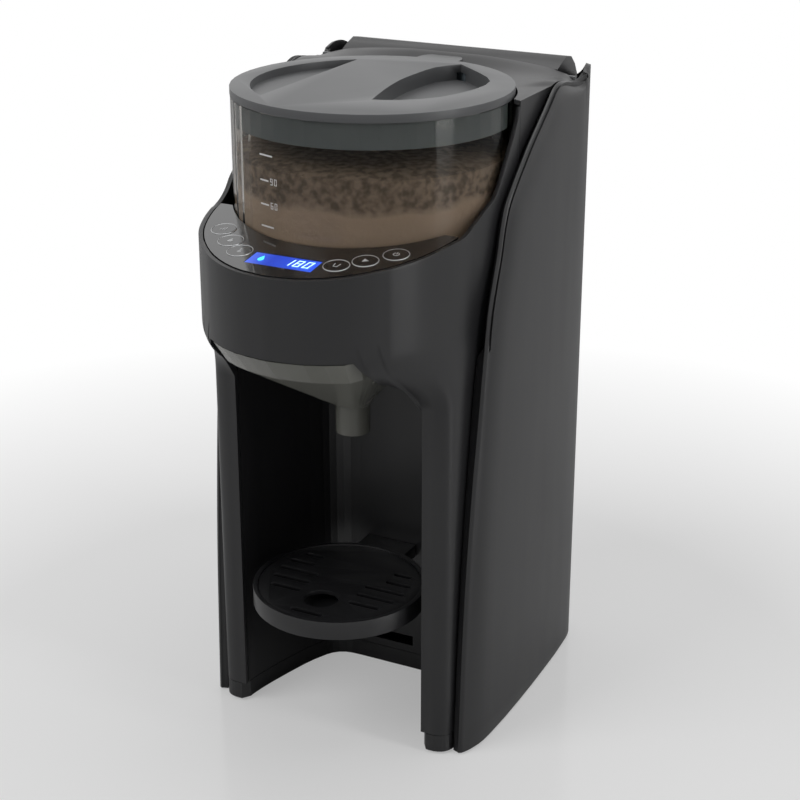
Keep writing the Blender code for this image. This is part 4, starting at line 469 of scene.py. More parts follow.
def print_finish(name, colour, glow=0.0):
    paint = Finish(name)
    grain = paint.noise(900.0, 2.0)
    tint = paint.mix(grain, shade(colour, 0.94), colour)
    values = {"Base_Color": tint, "Roughness": grain * 0.1 + 0.35}
    if glow:
        values.update(Emission_Color=tint, Emission_Strength=glow)
    return paint.set(**values)


FINISHES = {}
RECIPES = {
    "black_body": body_finish,
    "black_gloss": gloss_finish,
    "grey_lid": lid_finish,
    "smoke_clear": smoke_finish,
    "olive_clear": funnel_finish,
    "powder": powder_finish,
    "seal_silicone": seal_finish,
    "lens_clear": screen_finish,
    "black_rubber": lambda: plain_finish("rubber", (0.02, 0.02, 0.02), 0.75, scale=900.0, bump=0.2),
    "white_plastic": lambda: plain_finish("natural_plastic", (0.62, 0.62, 0.59), 0.38),
    "grey_plastic": lambda: plain_finish("inner_plastic", (0.16, 0.165, 0.17), 0.42),
    "board_green": lambda: plain_finish("board_lacquer", (0.02, 0.12, 0.05), 0.35, scale=700.0, bump=0.2),
    "steel": lambda: plain_finish("plated_steel", (0.55, 0.55, 0.56), 0.24, 1.0),
    "copper": lambda: plain_finish("varnished_winding", (0.60, 0.26, 0.12), 0.30, 1.0, 1200.0, 0.3),
    "hose_silicone": lambda: plain_finish("milky_hose", (0.55, 0.56, 0.55), 0.35),
    "ring_silver": lambda: plain_finish("silver_print", (0.58, 0.59, 0.60), 0.25, 0.6),
    "icon_pale": lambda: print_finish("pale_print", (0.62, 0.63, 0.64)),
    "scale_white": lambda: print_finish("white_print", (0.85, 0.85, 0.84)),
    "drop_glow": lambda: print_finish("lit_drop", (0.10, 0.75, 1.0), 1.0),
    "digit_glow": lambda: print_finish("lit_digits", (0.55, 0.85, 1.0), 1.2),
}


def finish(name):
    if name not in FINISHES:
        FINISHES[name] = RECIPES[name]()
    return FINISHES[name]


# Geometry helpers
def smooth(points, steps):
    """Catmull-Rom curve through the points."""
    ends = [points[0], *points, points[-1]]
    result = []
    for a, b, c, d in zip(ends, ends[1:], ends[2:], ends[3:]):
        for k in range(steps):
            t = k / steps
            result.append(tuple(
                0.5 * (2 * q + (r - p) * t + (2 * p - 5 * q + 4 * r - s) * t ** 2
                       + (3 * q - p - 3 * r + s) * t ** 3)
                for p, q, r, s in zip(a, b, c, d)))
    result.append(tuple(points[-1]))
    return result


def sample(table, place):
    if place <= table[0][0]:
        return table[0][1]
    for (a, low), (b, high) in zip(table, table[1:]):
        if place <= b:
            return low + (high - low) * (place - a) / (b - a)
    return table[-1][1]


def ease(value):
    value = min(max(value, 0.0), 1.0)
    return value * value * (3 - 2 * value)


def along(path, share):
    lengths = [math.dist(a, b) for a, b in zip(path, path[1:])]
    left = share * sum(lengths)
    for (a, b), length in zip(zip(path, path[1:]), lengths):
        if left <= length:
            return tuple(p + (q - p) * left / length for p, q in zip(a, b))
        left -= length
    return path[-1]


def arc(radius, start, end, steps, centre=(0.0, 0.0)):
    return [(centre[0] + radius * math.cos(start + (end - start) * k / steps),
             centre[1] + radius * math.sin(start + (end - start) * k / steps)) for k in range(steps + 1)]


def close_up(shape):
    """Merges doubles and turns faces outward."""
    bmesh.ops.remove_doubles(shape, verts=shape.verts, dist=WELD)
    bmesh.ops.dissolve_degenerate(shape, edges=shape.edges, dist=1e-7)
    bmesh.ops.recalc_face_normals(shape, faces=shape.faces)
    return shape


def to_mesh(shape, name="form"):
    mesh = bpy.data.meshes.new(name)
    shape.to_mesh(mesh)
    shape.free()
    return mesh


def grid(rows, close=False):
    """Surface through rows of equal counts; close joins each row's end to its start."""
    shape = bmesh.new()
    lines = [[shape.verts.new(point) for point in row] for row in rows]
    count = len(lines[0])
    for first, second in zip(lines, lines[1:]):
        for i in range(count if close else count - 1):
            j = (i + 1) % count
            shape.faces.new((first[i], first[j], second[j], second[i]))
    return shape


def turned(profile, steps=160, centre=(0.0, 0.0)):
    """Closed profile of (radius, height) turned about an upright axis."""
    rows = []
    for k in range(steps):
        angle = 2 * math.pi * k / steps
        across, deep = math.cos(angle), math.sin(angle)
        rows.append([(centre[0] + r * across, centre[1] + r * deep, z) for r, z in profile])
    rows.append(rows[0])
    shape = grid(rows, close=True)
    return to_mesh(close_up(shape))


def flat_solid(outlines, low, high):
    """Solid of an outline, or of an outline with holes, between two levels."""
    if not isinstance(outlines[0][0], (tuple, list)):
        outlines = [outlines]
    curve = bpy.data.curves.new("outline", "CURVE")
    curve.dimensions = "2D"
    curve.fill_mode = "BOTH"
    curve.extrude = (high - low) / 2
    for outline in outlines:
        spline = curve.splines.new("POLY")
        spline.points.add(len(outline) - 1)
        for point, (u, v) in zip(spline.points, outline):
            point.co = (u, v, 0.0, 1.0)
        spline.use_cyclic_u = True
    holder = bpy.data.objects.new("outline", curve)
    bpy.context.scene.collection.objects.link(holder)
    mesh = baked(holder)
    mesh.transform(Matrix.Translation((0.0, 0.0, (low + high) / 2)))
    shape = bmesh.new()
    shape.from_mesh(mesh)
    return to_mesh(close_up(shape))


def baked(holder):
    """Evaluated mesh of a temporary object, which is then removed."""
    graph = bpy.context.evaluated_depsgraph_get()
    mesh = bpy.data.meshes.new_from_object(holder.evaluated_get(graph))
    bpy.data.objects.remove(holder, do_unlink=True)
    return mesh


def holder(mesh, name="holder"):
    item = bpy.data.objects.new(name, mesh)
    bpy.context.scene.collection.objects.link(item)
    return item


def carve(mesh, *tools):
    """Cuts tool meshes out of a mesh."""
    item = holder(mesh)
    helpers = []
    for tool in tools:
        helper = holder(tool, "tool")
        helpers.append(helper)
        modifier = item.modifiers.new("carve", "BOOLEAN")
        modifier.operation = "DIFFERENCE"
        modifier.object = helper
    result = baked(item)
    for helper in helpers:
        bpy.data.objects.remove(helper, do_unlink=True)
    return result


def walled(mesh, thickness, outward=-1.0):
    item = holder(mesh)
    wall = item.modifiers.new("wall", "SOLIDIFY")
    wall.thickness = thickness
    wall.offset = outward
    wall.use_even_offset = False
    return baked(item)


def softened(mesh, width, angle=40.0, segments=2):
    item = holder(mesh)
    bevel = item.modifiers.new("soft_edges", "BEVEL")
    bevel.width = width
    bevel.segments = segments
    bevel.limit_method = "ANGLE"
    bevel.angle_limit = math.radians(angle)
    bevel.use_clamp_overlap = True
    return baked(item)


def block(low, high):
    shape = bmesh.new()
    bmesh.ops.create_cube(shape, size=1.0)
    size = Vector(high) - Vector(low)
    bmesh.ops.scale(shape, vec=size, verts=shape.verts)
    bmesh.ops.translate(shape, vec=(Vector(high) + Vector(low)) / 2, verts=shape.verts)
    return to_mesh(shape)


def piece(name, mesh, body, slot, *nodes, look=None, sharp=42.0, shifted=True):
    """Finished piece: drawn about the container's axis, moved to its place, ridden and given its finish."""
    if shifted:
        mesh.transform(Matrix.Translation((0.0, AXIS_Y, 0.0)))
    mesh.name = name
    mesh.materials.clear()
    mesh.materials.append(finish(look or slot))
    mesh.shade_smooth()
    mesh.set_sharp_from_angle(angle=math.radians(sharp))
    item = bpy.data.objects.new(name, mesh)
    bpy.context.scene.collection.objects.link(item)
    if nodes:
        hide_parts(*nodes)
    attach(item, body)
    return item


def panel_level(y):
    return settings().panel_level + settings().panel_slope * y


# Skins of the casing
def side_width(y):
    return sample(SIDE_FINE, y)


SIDE_FINE = smooth(SIDE, 6)
RIM_FINE = smooth(RIM, 5)
REAR_FINE = smooth(REAR_RIM, 4)
CORNER_FINE = smooth(CORNER, 4)
LEG_FINE = smooth(LEG_PLAN, 4)
HEAD_FINE = smooth(HEAD_PLAN, 4)
COLLAR_FINE = smooth(COLLAR_LINE, 4)
RIM_TOP = RIM_FINE[45:] + REAR_FINE[1:]


def rim_level(y):
    return sample(RIM_TOP, y)


def rim_distance(y, z):
    """Distance in the side plane from a point to the shell's front rim."""
    best = 1.0
    for (ay, az), (by, bz) in zip(RIM_FINE, RIM_FINE[1:]):
        dy, dz = by - ay, bz - az
        t = ((y - ay) * dy + (z - az) * dz) / (dy * dy + dz * dz)
        t = min(max(t, 0.0), 1.0)
        best = min(best, math.hypot(y - ay - dy * t, z - az - dz * t))
    return best


def cover_point(index, z):
    front = index / (len(LEG_FINE) - 1)
    low, high = BLEND_LOW[0] - BLEND_LOW[1] * front, BLEND_HIGH[0] - BLEND_HIGH[1] * front
    share = ease((z - low) / (high - low))
    return Vector(LEG_FINE[index]).lerp(Vector(HEAD_FINE[index]), share)


def cover_side(y, z):
    points = sorted((p.y, p.x) for p in (cover_point(i, z) for i in range(0, 33, 2)))
    return sample(points, y)


def cover_top(y):
    if y <= COLLAR_LINE[0][0]:
        return panel_level(y)
    return sample(COLLAR_FINE, y)


def shell_rows():
    wall = settings().shell_wall
    spine_y, spine_top = RIM[-1]
    count = len(RIM_FINE)
    rows = []
    for i, (y, z) in enumerate(RIM_FINE):
        before, after = Vector(RIM_FINE[max(i - 1, 0)]), Vector(RIM_FINE[min(i + 1, count - 1)])
        tangent = (after - before).normalized()
        inward = Vector((tangent.y, -tangent.x))
        share = i / (count - 1)
        spine = Vector((spine_y, SHELL_FOOT + (spine_top - SHELL_FOOT) * share))
        here = Vector((y, z))
        edge = here + inward * BAND_FALL
        back = edge + inward * wall
        collar = COLLAR if z > CEILING_TOP else 0.0
        reach = max(cover_side(*edge), cover_side(*back), collar) + GAP
        run = (spine - here).length
        fade = min(1.0, run / NOSE_FADE)
        nose = side_width(y) - NOSE_DEPTH * fade
        row = [(reach, edge)]
        row += [(reach + (nose - reach) * part, here + inward * fall) for part, fall in BAND_STEPS]
        row += [(nose - back_off * fade, here + inward * fall) for back_off, fall in NOSE_STEPS]
        row = [(x, p.x, p.y) for x, p in row]
        steps = [min(d / run, 1.0) if run > SHORT_RUN else k / 12 for k, d in enumerate(SIDE_STEPS)]
        steps += [steps[-1] + (1 - steps[-1]) * k / 6 for k in range(1, 7)]
        for step in steps:
            point = here.lerp(spine, step)
            round_off = NOSE_DEPTH * fade * math.exp(-rim_distance(point.x, point.y) / NOSE_RUN)
            row.append((side_width(point.x) - round_off, point.x, point.y))
        for x, corner_y in CORNER_FINE[1:]:
            top = sample(REAR_FINE, min(corner_y, REAR_FINE[-1][0]))
            rise = (spine.y - SHELL_FOOT) * (top - SHELL_FOOT) / (spine_top - SHELL_FOOT)
            row.append((x, corner_y, SHELL_FOOT + rise))
        rows.append(row)
    return rows


def both_sides(shape):
    """Merged mesh of one side, with the other side mirrored to it."""
    bmesh.ops.remove_doubles(shape, verts=shape.verts, dist=WELD)
    item = holder(to_mesh(shape))
    mirror = item.modifiers.new("other_side", "MIRROR")
    mirror.merge_threshold = WELD
    return baked(item)


def make_shell():
    solid = walled(both_sides(grid(shell_rows())), settings().shell_wall)
    solid = carve(solid, block(*TANK_OPENING), rod(*GLAND_HOLE))
    return softened(solid, settings().edge_round, 50.0)


def rod(radius, low, high, centre, steps=32):
    """Cylinder along Y between two depths; centre is (x, z)."""
    angles = [2 * math.pi * k / steps for k in range(steps)]
    rows = [[(centre[0] + radius * math.cos(a), y, centre[1] + radius * math.sin(a)) for a in angles]
            for y in (low, high)]
    shape = grid(rows, close=True)
    bmesh.ops.holes_fill(shape, edges=shape.edges, sides=0)
    return to_mesh(close_up(shape))


def arch_height(x):
    """Lowest height of the cover above a place across the bay; zero on the legs."""
    if x >= ARCH_HALF:
        return BASE_TOP + GAP
    return sample(ARCH, x)


def cover_column(index, count):
    """Column of the cover's surface from its lower edge, or from the arch's spring on a leg, to its top."""
    top = cover_top(HEAD_FINE[index][1])
    if index <= LEG_COLUMN * 4:
        low = LEG_SPRING
    else:
        low = HEAD_EDGE
        for k in range(ARCH_FINDS + 1):
            z = HEAD_EDGE - (HEAD_EDGE - ARCH_LOWEST) * k / ARCH_FINDS
            if z < arch_height(cover_point(index, z).x):
                break
            low = z
    return [(*cover_point(index, low + (top - low) * k / count), low + (top - low) * k / count)
            for k in range(count + 1)]


def make_cover():
    columns = [cover_column(i, 56) for i in range(len(LEG_FINE))]
    upper = grid([list(row) for row in zip(*columns)])
    legs = []
    for index in range(LEG_COLUMN * 4 + 1):
        low = BASE_TOP + GAP
        levels = [low + (LEG_SPRING - low) * k / 8 for k in range(9)]
        legs.append([(*cover_point(index, level), level) for level in levels])
    lower = grid([list(row) for row in zip(*legs)])
    joined = bmesh.new()
    for part in (upper, lower):
        joined.from_mesh(to_mesh(part))
    solid = walled(both_sides(joined), settings().cover_wall, 1.0)
    return softened(solid, settings().edge_round * 1.3, 45.0, 3)


def make_deck():
    """Dished deck from the ring round the lid out to the casing's edge."""
    radius = CONTAINER_RADIUS + DECK_ROOM
    start = math.asin(DECK_START / radius)
    low = LID_TOP - LID_RIM
    rows = []
    for k in range(DECK_TURNS + 1):
        angle = start + (math.pi / 2 - start) * k / DECK_TURNS
        x, y = radius * math.cos(angle), radius * math.sin(angle)
        u, v = along(DECK_EDGE, k / DECK_TURNS)
        shoulder = Vector((u, v, max(rim_level(v) - GAP, low)))
        inner = Vector((x, y, low))
        drop = DECK_WALL if v < CONTAINER_RADIUS else 0.0
        foot = Vector((u, v, min(shoulder.z, rim_level(v)) - drop))
        row = [inner, inner + Vector((0, 0, DECK_LIP))]
        for t in DECK_STEPS:
            point = inner.lerp(shoulder, t)
            point.z = low + DECK_LIP + (shoulder.z - low - DECK_LIP) * ease(t)
            row.append(point)
        row += [shoulder, foot] if drop else [shoulder, shoulder]
        rows.append(row)
    return walled(both_sides(grid(rows)), DECK_WALL)


class FORMULA_OT_stage(bpy.types.Operator):
    """Sets the floor, lamps, world and camera"""
    bl_idname = "formula.stage"
    bl_label = "Studio"

    def execute(self, context):
        scene = context.scene
        scene.view_settings.view_transform = "Standard"
        half = FLOOR_HALF
        rows = [[(-half, -half, 0.0), (half, -half, 0.0)], [(-half, half, 0.0), (half, half, 0.0)]]
        floor_mesh = to_mesh(grid(rows), "floor")
        floor = holder(floor_mesh, "studio_floor")
        floor.data.materials.append(floor_finish())
        world = bpy.data.worlds.new("studio")
        scene.world = world
        world.use_nodes = True
        tree = world.node_tree
        back = tree.nodes["Background"]
        path = tree.nodes.new("ShaderNodeLightPath")
        seen = Signal(tree, path.outputs["Is Camera Ray"])
        through = Signal(tree, path.outputs["Is Transmission Ray"])
        mirror = Signal(tree, path.outputs["Is Glossy Ray"])
        level = (seen + through + mirror).math("MINIMUM", 1.0)
        connect(tree, back.inputs["Color"], (1.0, 1.0, 1.0))
        connect(tree, back.inputs["Strength"], level * (1.0 - WORLD_FILL) + WORLD_FILL)
        for row in LAMPS:
            lamp(*row)
        shot = bpy.data.cameras.new("photo_camera")
        shot.lens = LENS
        shot.sensor_width = SENSOR
        camera = bpy.data.objects.new("photo_camera", shot)
        scene.collection.objects.link(camera)
        turn, tilt = CAMERA_TURN, CAMERA_TILT
        back_dir = Vector((math.sin(turn) * math.cos(tilt), -math.cos(turn) * math.cos(tilt), math.sin(tilt)))
        right = Vector((math.cos(turn), math.sin(turn), 0.0))
        up = back_dir.cross(right)
        pose = Matrix((right, up, back_dir)).transposed().to_4x4()
        pose.translation = Vector(CAMERA_PLACE) + Vector((0.0, AXIS_Y, 0.0))
        camera.matrix_world = pose
        scene.camera = camera
        return {"FINISHED"}


def lamp(name, place, target, width, height, power):
    light = bpy.data.lights.new(name, "AREA")
    light.shape = "RECTANGLE"
    light.size = width
    light.size_y = height
    light.energy = power
    item = bpy.data.objects.new(name, light)
    bpy.context.scene.collection.objects.link(item)
    item.location = place
    item.rotation_euler = (Vector(place) - Vector(target)).to_track_quat("Z", "Y").to_euler()


def floor_finish():
    paint = Finish("studio_floor")
    tree = paint.tree
    path = tree.nodes.new("ShaderNodeLightPath")
    away = paint.node("ShaderNodeVectorMath", {"operation": "LENGTH"}, output="Value", Vector=paint.place)
    seen = Signal(tree, path.outputs["Is Camera Ray"])
    far = (away * WHITE_RATE - WHITE_START).math("MAXIMUM", 0.0).math("MINIMUM", 1.0)
    paint.set(Base_Color=(0.88, 0.88, 0.88), Roughness=0.15, Specular_IOR_Level=0.35)
    light = tree.nodes.new("ShaderNodeEmission")
    blend = tree.nodes.new("ShaderNodeMixShader")
    connect(tree, blend.inputs[0], seen * (far * (1.0 - WHITE_LEAST) + WHITE_LEAST))
    tree.links.new(paint.shader.outputs[0], blend.inputs[1])
    tree.links.new(light.outputs[0], blend.inputs[2])
    tree.links.new(blend.outputs[0], tree.nodes["Material Output"].inputs["Surface"])
    return paint.material


class FORMULA_OT_casing(bpy.types.Operator):
    """Makes the shell, the front cover and the deck"""
    bl_idname = "formula.casing"
    bl_label = "Casing"

    def execute(self, context):
        piece("shell_skin", crowned(make_shell()), "casing", "black_body", "outer_shell")
        piece("cover_skin", make_cover(), "casing", "black_body", "front_cover")
        piece("deck_skin", crowned(make_deck()), "casing", "black_body", "top_deck")
        return {"FINISHED"}


def crowned(mesh):
    """Lets the top of a mesh fall away towards the sides, behind the lid."""
    for vertex in mesh.vertices:
        x, y, z = vertex.co
        fall = CROWN[0][1] - sample(CROWN, abs(x))
        behind = ease((y - CROWN_DEPTH[0]) / CROWN_DEPTH[1])
        vertex.co.z -= fall * behind * ease((z - CROWN_RISE[0]) / CROWN_RISE[1])
    return mesh


def node_copy(name):
    """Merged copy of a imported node's mesh, drawn about the container's axis."""
    shape = bmesh.new()
    shape.from_mesh(NODES[name].data)
    bmesh.ops.remove_doubles(shape, verts=shape.verts, dist=WELD)
    bmesh.ops.dissolve_limit(shape, angle_limit=math.radians(1.0), verts=shape.verts, edges=shape.edges)
    bmesh.ops.translate(shape, vec=(0.0, -AXIS_Y, 0.0), verts=shape.verts)
    return to_mesh(shape, name)


def scatter_tree(name, shape_kind, sizes):
    """Geometry Nodes tree that sets one shape on every point of a mesh."""
    tree = bpy.data.node_groups.new(name, "GeometryNodeTree")
    face = tree.interface
    face.new_socket("Geometry", in_out="INPUT", socket_type="NodeSocketGeometry")
    ids = {}
    for label, kind in sizes:
        ids[label] = face.new_socket(label, in_out="INPUT", socket_type=kind).identifier
    face.new_socket("Geometry", in_out="OUTPUT", socket_type="NodeSocketGeometry")
    nodes, links = tree.nodes, tree.links
    entry, leave = nodes.new("NodeGroupInput"), nodes.new("NodeGroupOutput")
    put = nodes.new("GeometryNodeInstanceOnPoints")
    real = nodes.new("GeometryNodeRealizeInstances")
    coat = nodes.new("GeometryNodeSetMaterial")
    if shape_kind == "ring":
        path = nodes.new("GeometryNodeCurvePrimitiveCircle")
        wire = nodes.new("GeometryNodeCurvePrimitiveCircle")
        path.inputs["Resolution"].default_value = RING_FACETS
        wire.inputs["Resolution"].default_value = WIRE_FACETS
        links.new(entry.outputs["Ring radius"], path.inputs["Radius"])
        links.new(entry.outputs["Wire radius"], wire.inputs["Radius"])
        form = nodes.new("GeometryNodeCurveToMesh")
        links.new(path.outputs[0], form.inputs["Curve"])
        links.new(wire.outputs[0], form.inputs["Profile Curve"])
        links.new(entry.outputs["Tilt"], put.inputs["Rotation"])
        links.new(entry.outputs["Geometry"], put.inputs["Points"])
    else:
        form = nodes.new("GeometryNodeMeshIcoSphere")
        form.inputs["Subdivisions"].default_value = 1
        links.new(entry.outputs["Grain radius"], form.inputs["Radius"])
        spread = nodes.new("GeometryNodeDistributePointsOnFaces")
        spread.inputs["Seed"].default_value = GRANULE_SEED
        links.new(entry.outputs["Geometry"], spread.inputs["Mesh"])
        links.new(entry.outputs["Density"], spread.inputs["Density"])
        size = nodes.new("FunctionNodeRandomValue")
        size.data_type = "FLOAT"
        size.inputs[2].default_value, size.inputs[3].default_value = GRANULE_SCALES
        links.new(size.outputs[1], put.inputs["Scale"])
        links.new(spread.outputs["Points"], put.inputs["Points"])
    links.new(form.outputs[0], put.inputs["Instance"])
    links.new(put.outputs[0], real.inputs[0])
    links.new(real.outputs[0], coat.inputs["Geometry"])
    links.new(entry.outputs["Material"], coat.inputs["Material"])
    links.new(coat.outputs[0], leave.inputs[0])
    return tree, ids


def scattered(mesh, name, shape_kind, **values):
    """Plain mesh of a tree applied to a carrier mesh."""
    kinds = {"Material": "NodeSocketMaterial", "Tilt": "NodeSocketRotation"}
    labels = {key.replace("_", " "): value for key, value in values.items()}
    tree, ids = scatter_tree(name, shape_kind, [(key, kinds.get(key, "NodeSocketFloat")) for key in labels])
    carrier = holder(mesh, name)
    modifier = carrier.modifiers.new(name, "NODES")
    modifier.node_group = tree
    for key, value in labels.items():
        modifier[ids[key]] = value
    return baked(carrier)


def point_mesh(points):
    mesh = bpy.data.meshes.new("points")
    mesh.from_pydata(points, [], [])
    return mesh


# Outlines of the icons in halves of an icon's size
DROP = [(0.0, 1.0)] + arc(0.62, math.radians(35), math.radians(-215), 14, (0.0, -0.30))
BULB = arc(0.45, math.radians(120), math.radians(420), 14, (0.0, -0.6))
OUTER_RING = arc(0.8, math.radians(60), math.radians(-240), 20)
INNER_RING = arc(0.6, math.radians(-240), math.radians(60), 20)
ICONS = {
    "thermometer": ([(-0.22, 1.0), (-0.22, -0.25)] + BULB + [(0.22, -0.25), (0.22, 1.0)],),
    "drop": (DROP,),
    "bars": tuple([(x - 0.17, -0.8), (x + 0.17, -0.8), (x + 0.17, top), (x - 0.17, top)]
                  for x, top in ((-0.6, -0.1), (0.0, 0.35), (0.6, 0.8))),
    "cup": ([(-0.55, -0.8), (0.55, -0.8), (0.8, 0.8), (0.58, 0.8), (0.38, -0.6), (-0.38, -0.6), (-0.58, 0.8),
             (-0.8, 0.8)],),
    "triangle": ([(-0.55, -0.8), (0.85, 0.0), (-0.55, 0.8)],),
    "power": (OUTER_RING + INNER_RING, [(-0.1, 0.1), (0.1, 0.1), (0.1, 0.95), (-0.1, 0.95)]),
}


def on_panel(mesh, x, y, lift=0.0):
    """Lays a flat mesh on the panel's plane at a place."""
    tilt = math.atan(settings().panel_slope)
    mesh.transform(Matrix.Translation((x, y, panel_level(y) + lift)) @ Matrix.Rotation(tilt, 4, "X"))
    return mesh


def together(*meshes):
    shape = bmesh.new()
    for mesh in meshes:
        shape.from_mesh(mesh)
    return to_mesh(shape)


def digit(character, width, height, bar, slant):
    """Seven-segment digit with its lower left corner at zero."""
    half = height / 2
    bars = {
        "a": ((0, height - bar), (width, height)), "g": ((0, half - bar / 2), (width, half + bar / 2)),
        "d": ((0, 0), (width, bar)), "f": ((0, half), (bar, height)),
        "b": ((width - bar, half), (width, height)),
        "e": ((0, 0), (bar, half)), "c": ((width - bar, 0), (width, half)),
    }
    inset = bar * BAR_INSET
    meshes = []
    for key in SEGMENTS[character]:
        (x0, y0), (x1, y1) = bars[key]
        x0, y0, x1, y1 = x0 + inset, y0 + inset, x1 - inset, y1 - inset
        outline = [(x + slant * y, y) for x, y in ((x0, y0), (x1, y0), (x1, y1), (x0, y1))]
        meshes.append(flat_solid(outline, 0.0, PRINT_DEPTH))
    return together(*meshes)


class FORMULA_OT_panel(bpy.types.Operator):
    """Makes the rings, the icons and the display's figures"""
    bl_idname = "formula.panel"
    bl_label = "Panel"

    def execute(self, context):
        tilt = math.atan(settings().panel_slope)
        spots = point_mesh([(x, y, panel_level(y) + RING_LIFT) for node, x, y, icon in BUTTONS])
        rings = scattered(spots, "button_rings", "ring", Ring_radius=RING_RADIUS, Wire_radius=RING_WIRE,
                          Tilt=(tilt, 0.0, 0.0), Material=finish("ring_silver"))
        piece("button_rings", rings, "casing", "steel", look="ring_silver")
        for node, x, y, icon in BUTTONS:
            marks = [flat_solid([(u * ICON_HALF, v * ICON_HALF) for u, v in outline], 0.0, PRINT_DEPTH)
                     for outline in ICONS[icon]]
            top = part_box(node)[1].z - panel_level(y + BUTTON_RADIUS)
            mesh = on_panel(together(*marks), x, y, max(top, 0.0) + ICON_LIFT)
            piece(node.replace("button", "icon"), mesh, node, "white_plastic", look="icon_pale")
        figures = []
        for k, character in enumerate(reversed(str(settings().reading))):
            glyph = digit(character, DIGIT_WIDTH, DIGIT_HEIGHT, DIGIT_BAR, DIGIT_SLANT)
            left = DIGITS_RIGHT - DIGIT_WIDTH - k * DIGIT_PITCH
            glyph.transform(Matrix.Translation((left, -DIGIT_HEIGHT / 2, 0.0)))
            figures.append(glyph)
        lit = on_panel(together(*figures), 0.0, DISPLAY_PLACE, DISPLAY_LIFT)
        piece("display_figures", lit, "casing", "lens_clear", look="digit_glow")
        drop = flat_solid([(u * DROP_SIZE[0], v * DROP_SIZE[1]) for u, v in DROP], 0.0, PRINT_DEPTH)
        lit = on_panel(drop, DROP_PLACE, DISPLAY_PLACE, DISPLAY_LIFT)
        piece("display_drop", lit, "casing", "lens_clear", look="drop_glow")
        return {"FINISHED"}


def heap_profile(inside, foot, level, sweep, cap):
    """Half outline of the powder: against the wall, over the stirrer's sweep and round its shaft."""
    surface = [(inside - back, level + rise) for back, rise in HEAP_EDGE]
    return [(sweep, foot), (inside, foot), *surface, (SHAFT_RADIUS, level + HEAP_RISE), (SHAFT_RADIUS, cap),
            (sweep, cap)]


class FORMULA_OT_container(bpy.types.Operator):
    """Makes the powder, its loose granules and the level marks on the container"""
    bl_idname = "formula.container"
    bl_label = "Container"

    def execute(self, context):
        inside = CONTAINER_RADIUS - POWDER_ROOM
        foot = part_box("wiper_plate")[1].z + POWDER_LIFT
        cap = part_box("stirrer")[1].z + STIRRER_ROOM
        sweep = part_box("stirrer")[1].x + STIRRER_SIDE
        level = max(settings().powder_level, cap + CAP_LEAST)
        heap = turned(heap_profile(inside, foot, level, sweep, cap), 180)
        piece("powder_heap", heap, "powder_container", "white_plastic", look="powder", sharp=60.0)
        low, high = (level + rise for rise in GRANULE_BAND)
        near, far = (inside - room for room in GRANULE_WALL)
        band = turned([(near, low), (far, low), (far, high), (near, high)], 90)
        area = 2 * 2 * math.pi * inside * (high - low)
        # The granules take the powder's finish, with its painted shade on the top
        grains = scattered(band, "loose_granules", "grain", Grain_radius=GRANULE_RADIUS,
                           Density=settings().granule_count / area, Material=finish("powder"))
        piece("loose_granules", grains, "powder_container", "white_plastic", look="powder")
        marks = []
        for z, length, value in SCALE:
            outline = [(0.0, -LINE_HALF), (length, -LINE_HALF), (length, LINE_HALF), (0.0, LINE_HALF)]
            marks.append(round_the_wall(flat_solid(outline, 0.0, LINE_DEPTH), SCALE_ANGLE, z))
            for k, character in enumerate(value):
                glyph = digit(character, MARK_WIDTH, MARK_HEIGHT, MARK_BAR, 0.0)
                left = length + MARK_SPACE + k * MARK_PITCH
                glyph.transform(Matrix.Translation((left, -MARK_HEIGHT / 2, 0.0)))
                marks.append(round_the_wall(glyph, SCALE_ANGLE, z))
        piece("level_marks", together(*marks), "powder_container", "white_plastic", look="scale_white")
        return {"FINISHED"}


def round_the_wall(mesh, angle, level):
    """Wraps a flat mesh on the container's outside, starting at an angle."""
    for vertex in mesh.vertices:
        u, v, w = vertex.co
        turn = angle + u / CONTAINER_RADIUS
        radius = CONTAINER_RADIUS + MARK_LIFT + w
        vertex.co = (radius * math.cos(turn), radius * math.sin(turn), level + v)
    return mesh


class FORMULA_OT_lids(bpy.types.Operator):
    """Makes the powder lid and the tank's lid with rounded edges"""
    bl_idname = "formula.lids"
    bl_label = "Lids"

    def execute(self, context):
        edge = settings().edge_round
        lid = softened(node_copy("powder_lid"), edge, 50.0, 3)
        piece("lid_skin", lid, "powder_lid", "grey_lid", "powder_lid")
        tank_lid = crowned(softened(node_copy("tank_lid"), edge, 50.0, 3))
        piece("tank_lid_skin", tank_lid, "tank_lid", "black_body", "tank_lid")
        return {"FINISHED"}


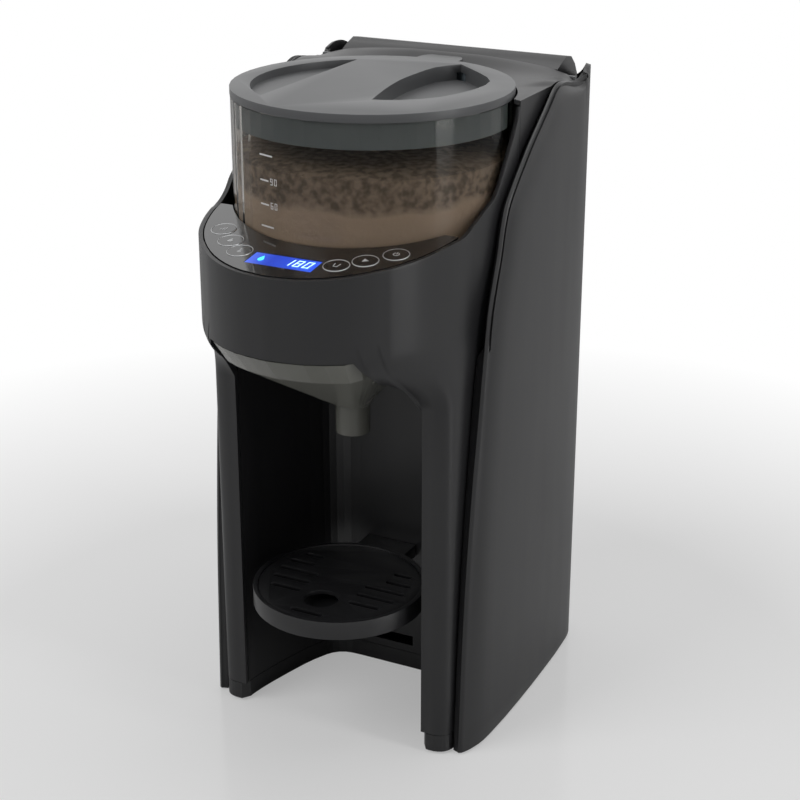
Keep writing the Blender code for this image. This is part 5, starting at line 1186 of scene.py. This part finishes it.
class FORMULA_OT_stand(bpy.types.Operator):
    """Makes the drip cup and its grate with rounded edges"""
    bl_idname = "formula.stand"
    bl_label = "Bottle stand"

    def execute(self, context):
        edge = settings().edge_round
        cup = softened(node_copy("drip_cup"), edge, 50.0, 3)
        piece("cup_skin", cup, "drip_cup", "black_body", "drip_cup")
        grate = softened(node_copy("drip_grate"), edge / 2, 50.0, 2)
        piece("grate_skin", grate, "drip_grate", "black_body", "drip_grate")
        return {"FINISHED"}


class FORMULA_PT_maker(bpy.types.Panel):
    """Sidebar list of the maker's sizes, colours and steps"""
    bl_idname = "FORMULA_PT_maker"
    bl_label = "Baby formula maker"
    bl_space_type = "VIEW_3D"
    bl_region_type = "UI"
    bl_category = "Formula maker"

    def draw(self, context):
        for group in (context.scene.maker_sizes, context.scene.maker_colours):
            for key in group.__annotations__:
                self.layout.prop(group, key)
        for step in STEPS:
            self.layout.operator(step.bl_idname)


class FORMULA_OT_insides(bpy.types.Operator):
    """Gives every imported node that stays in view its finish"""
    bl_idname = "formula.insides"
    bl_label = "Inside pieces"

    def execute(self, context):
        for row in frame["record"]["subparts"]:
            node = NODES[row["node"]]
            if node.hide_render:
                continue
            node.data.materials.clear()
            node.data.materials.append(finish(row["material_slot"]))
        return {"FINISHED"}


STEPS = (
    FORMULA_OT_stage, FORMULA_OT_casing, FORMULA_OT_lids, FORMULA_OT_container, FORMULA_OT_panel,
    FORMULA_OT_stand, FORMULA_OT_insides,
)
CLASSES = (MakerSizes, MakerColours, *STEPS, FORMULA_PT_maker)


def register():
    for item in CLASSES:
        bpy.utils.register_class(item)
    bpy.types.Scene.maker_sizes = PointerProperty(type=MakerSizes)
    bpy.types.Scene.maker_colours = PointerProperty(type=MakerColours)


def unregister():
    del bpy.types.Scene.maker_sizes
    del bpy.types.Scene.maker_colours
    for item in reversed(CLASSES):
        bpy.utils.unregister_class(item)


def main():
    register()
    for item in STEPS:
        group, name = item.bl_idname.split(".")
        getattr(getattr(bpy.ops, group), name)()


if __name__ == "__main__":
    main()
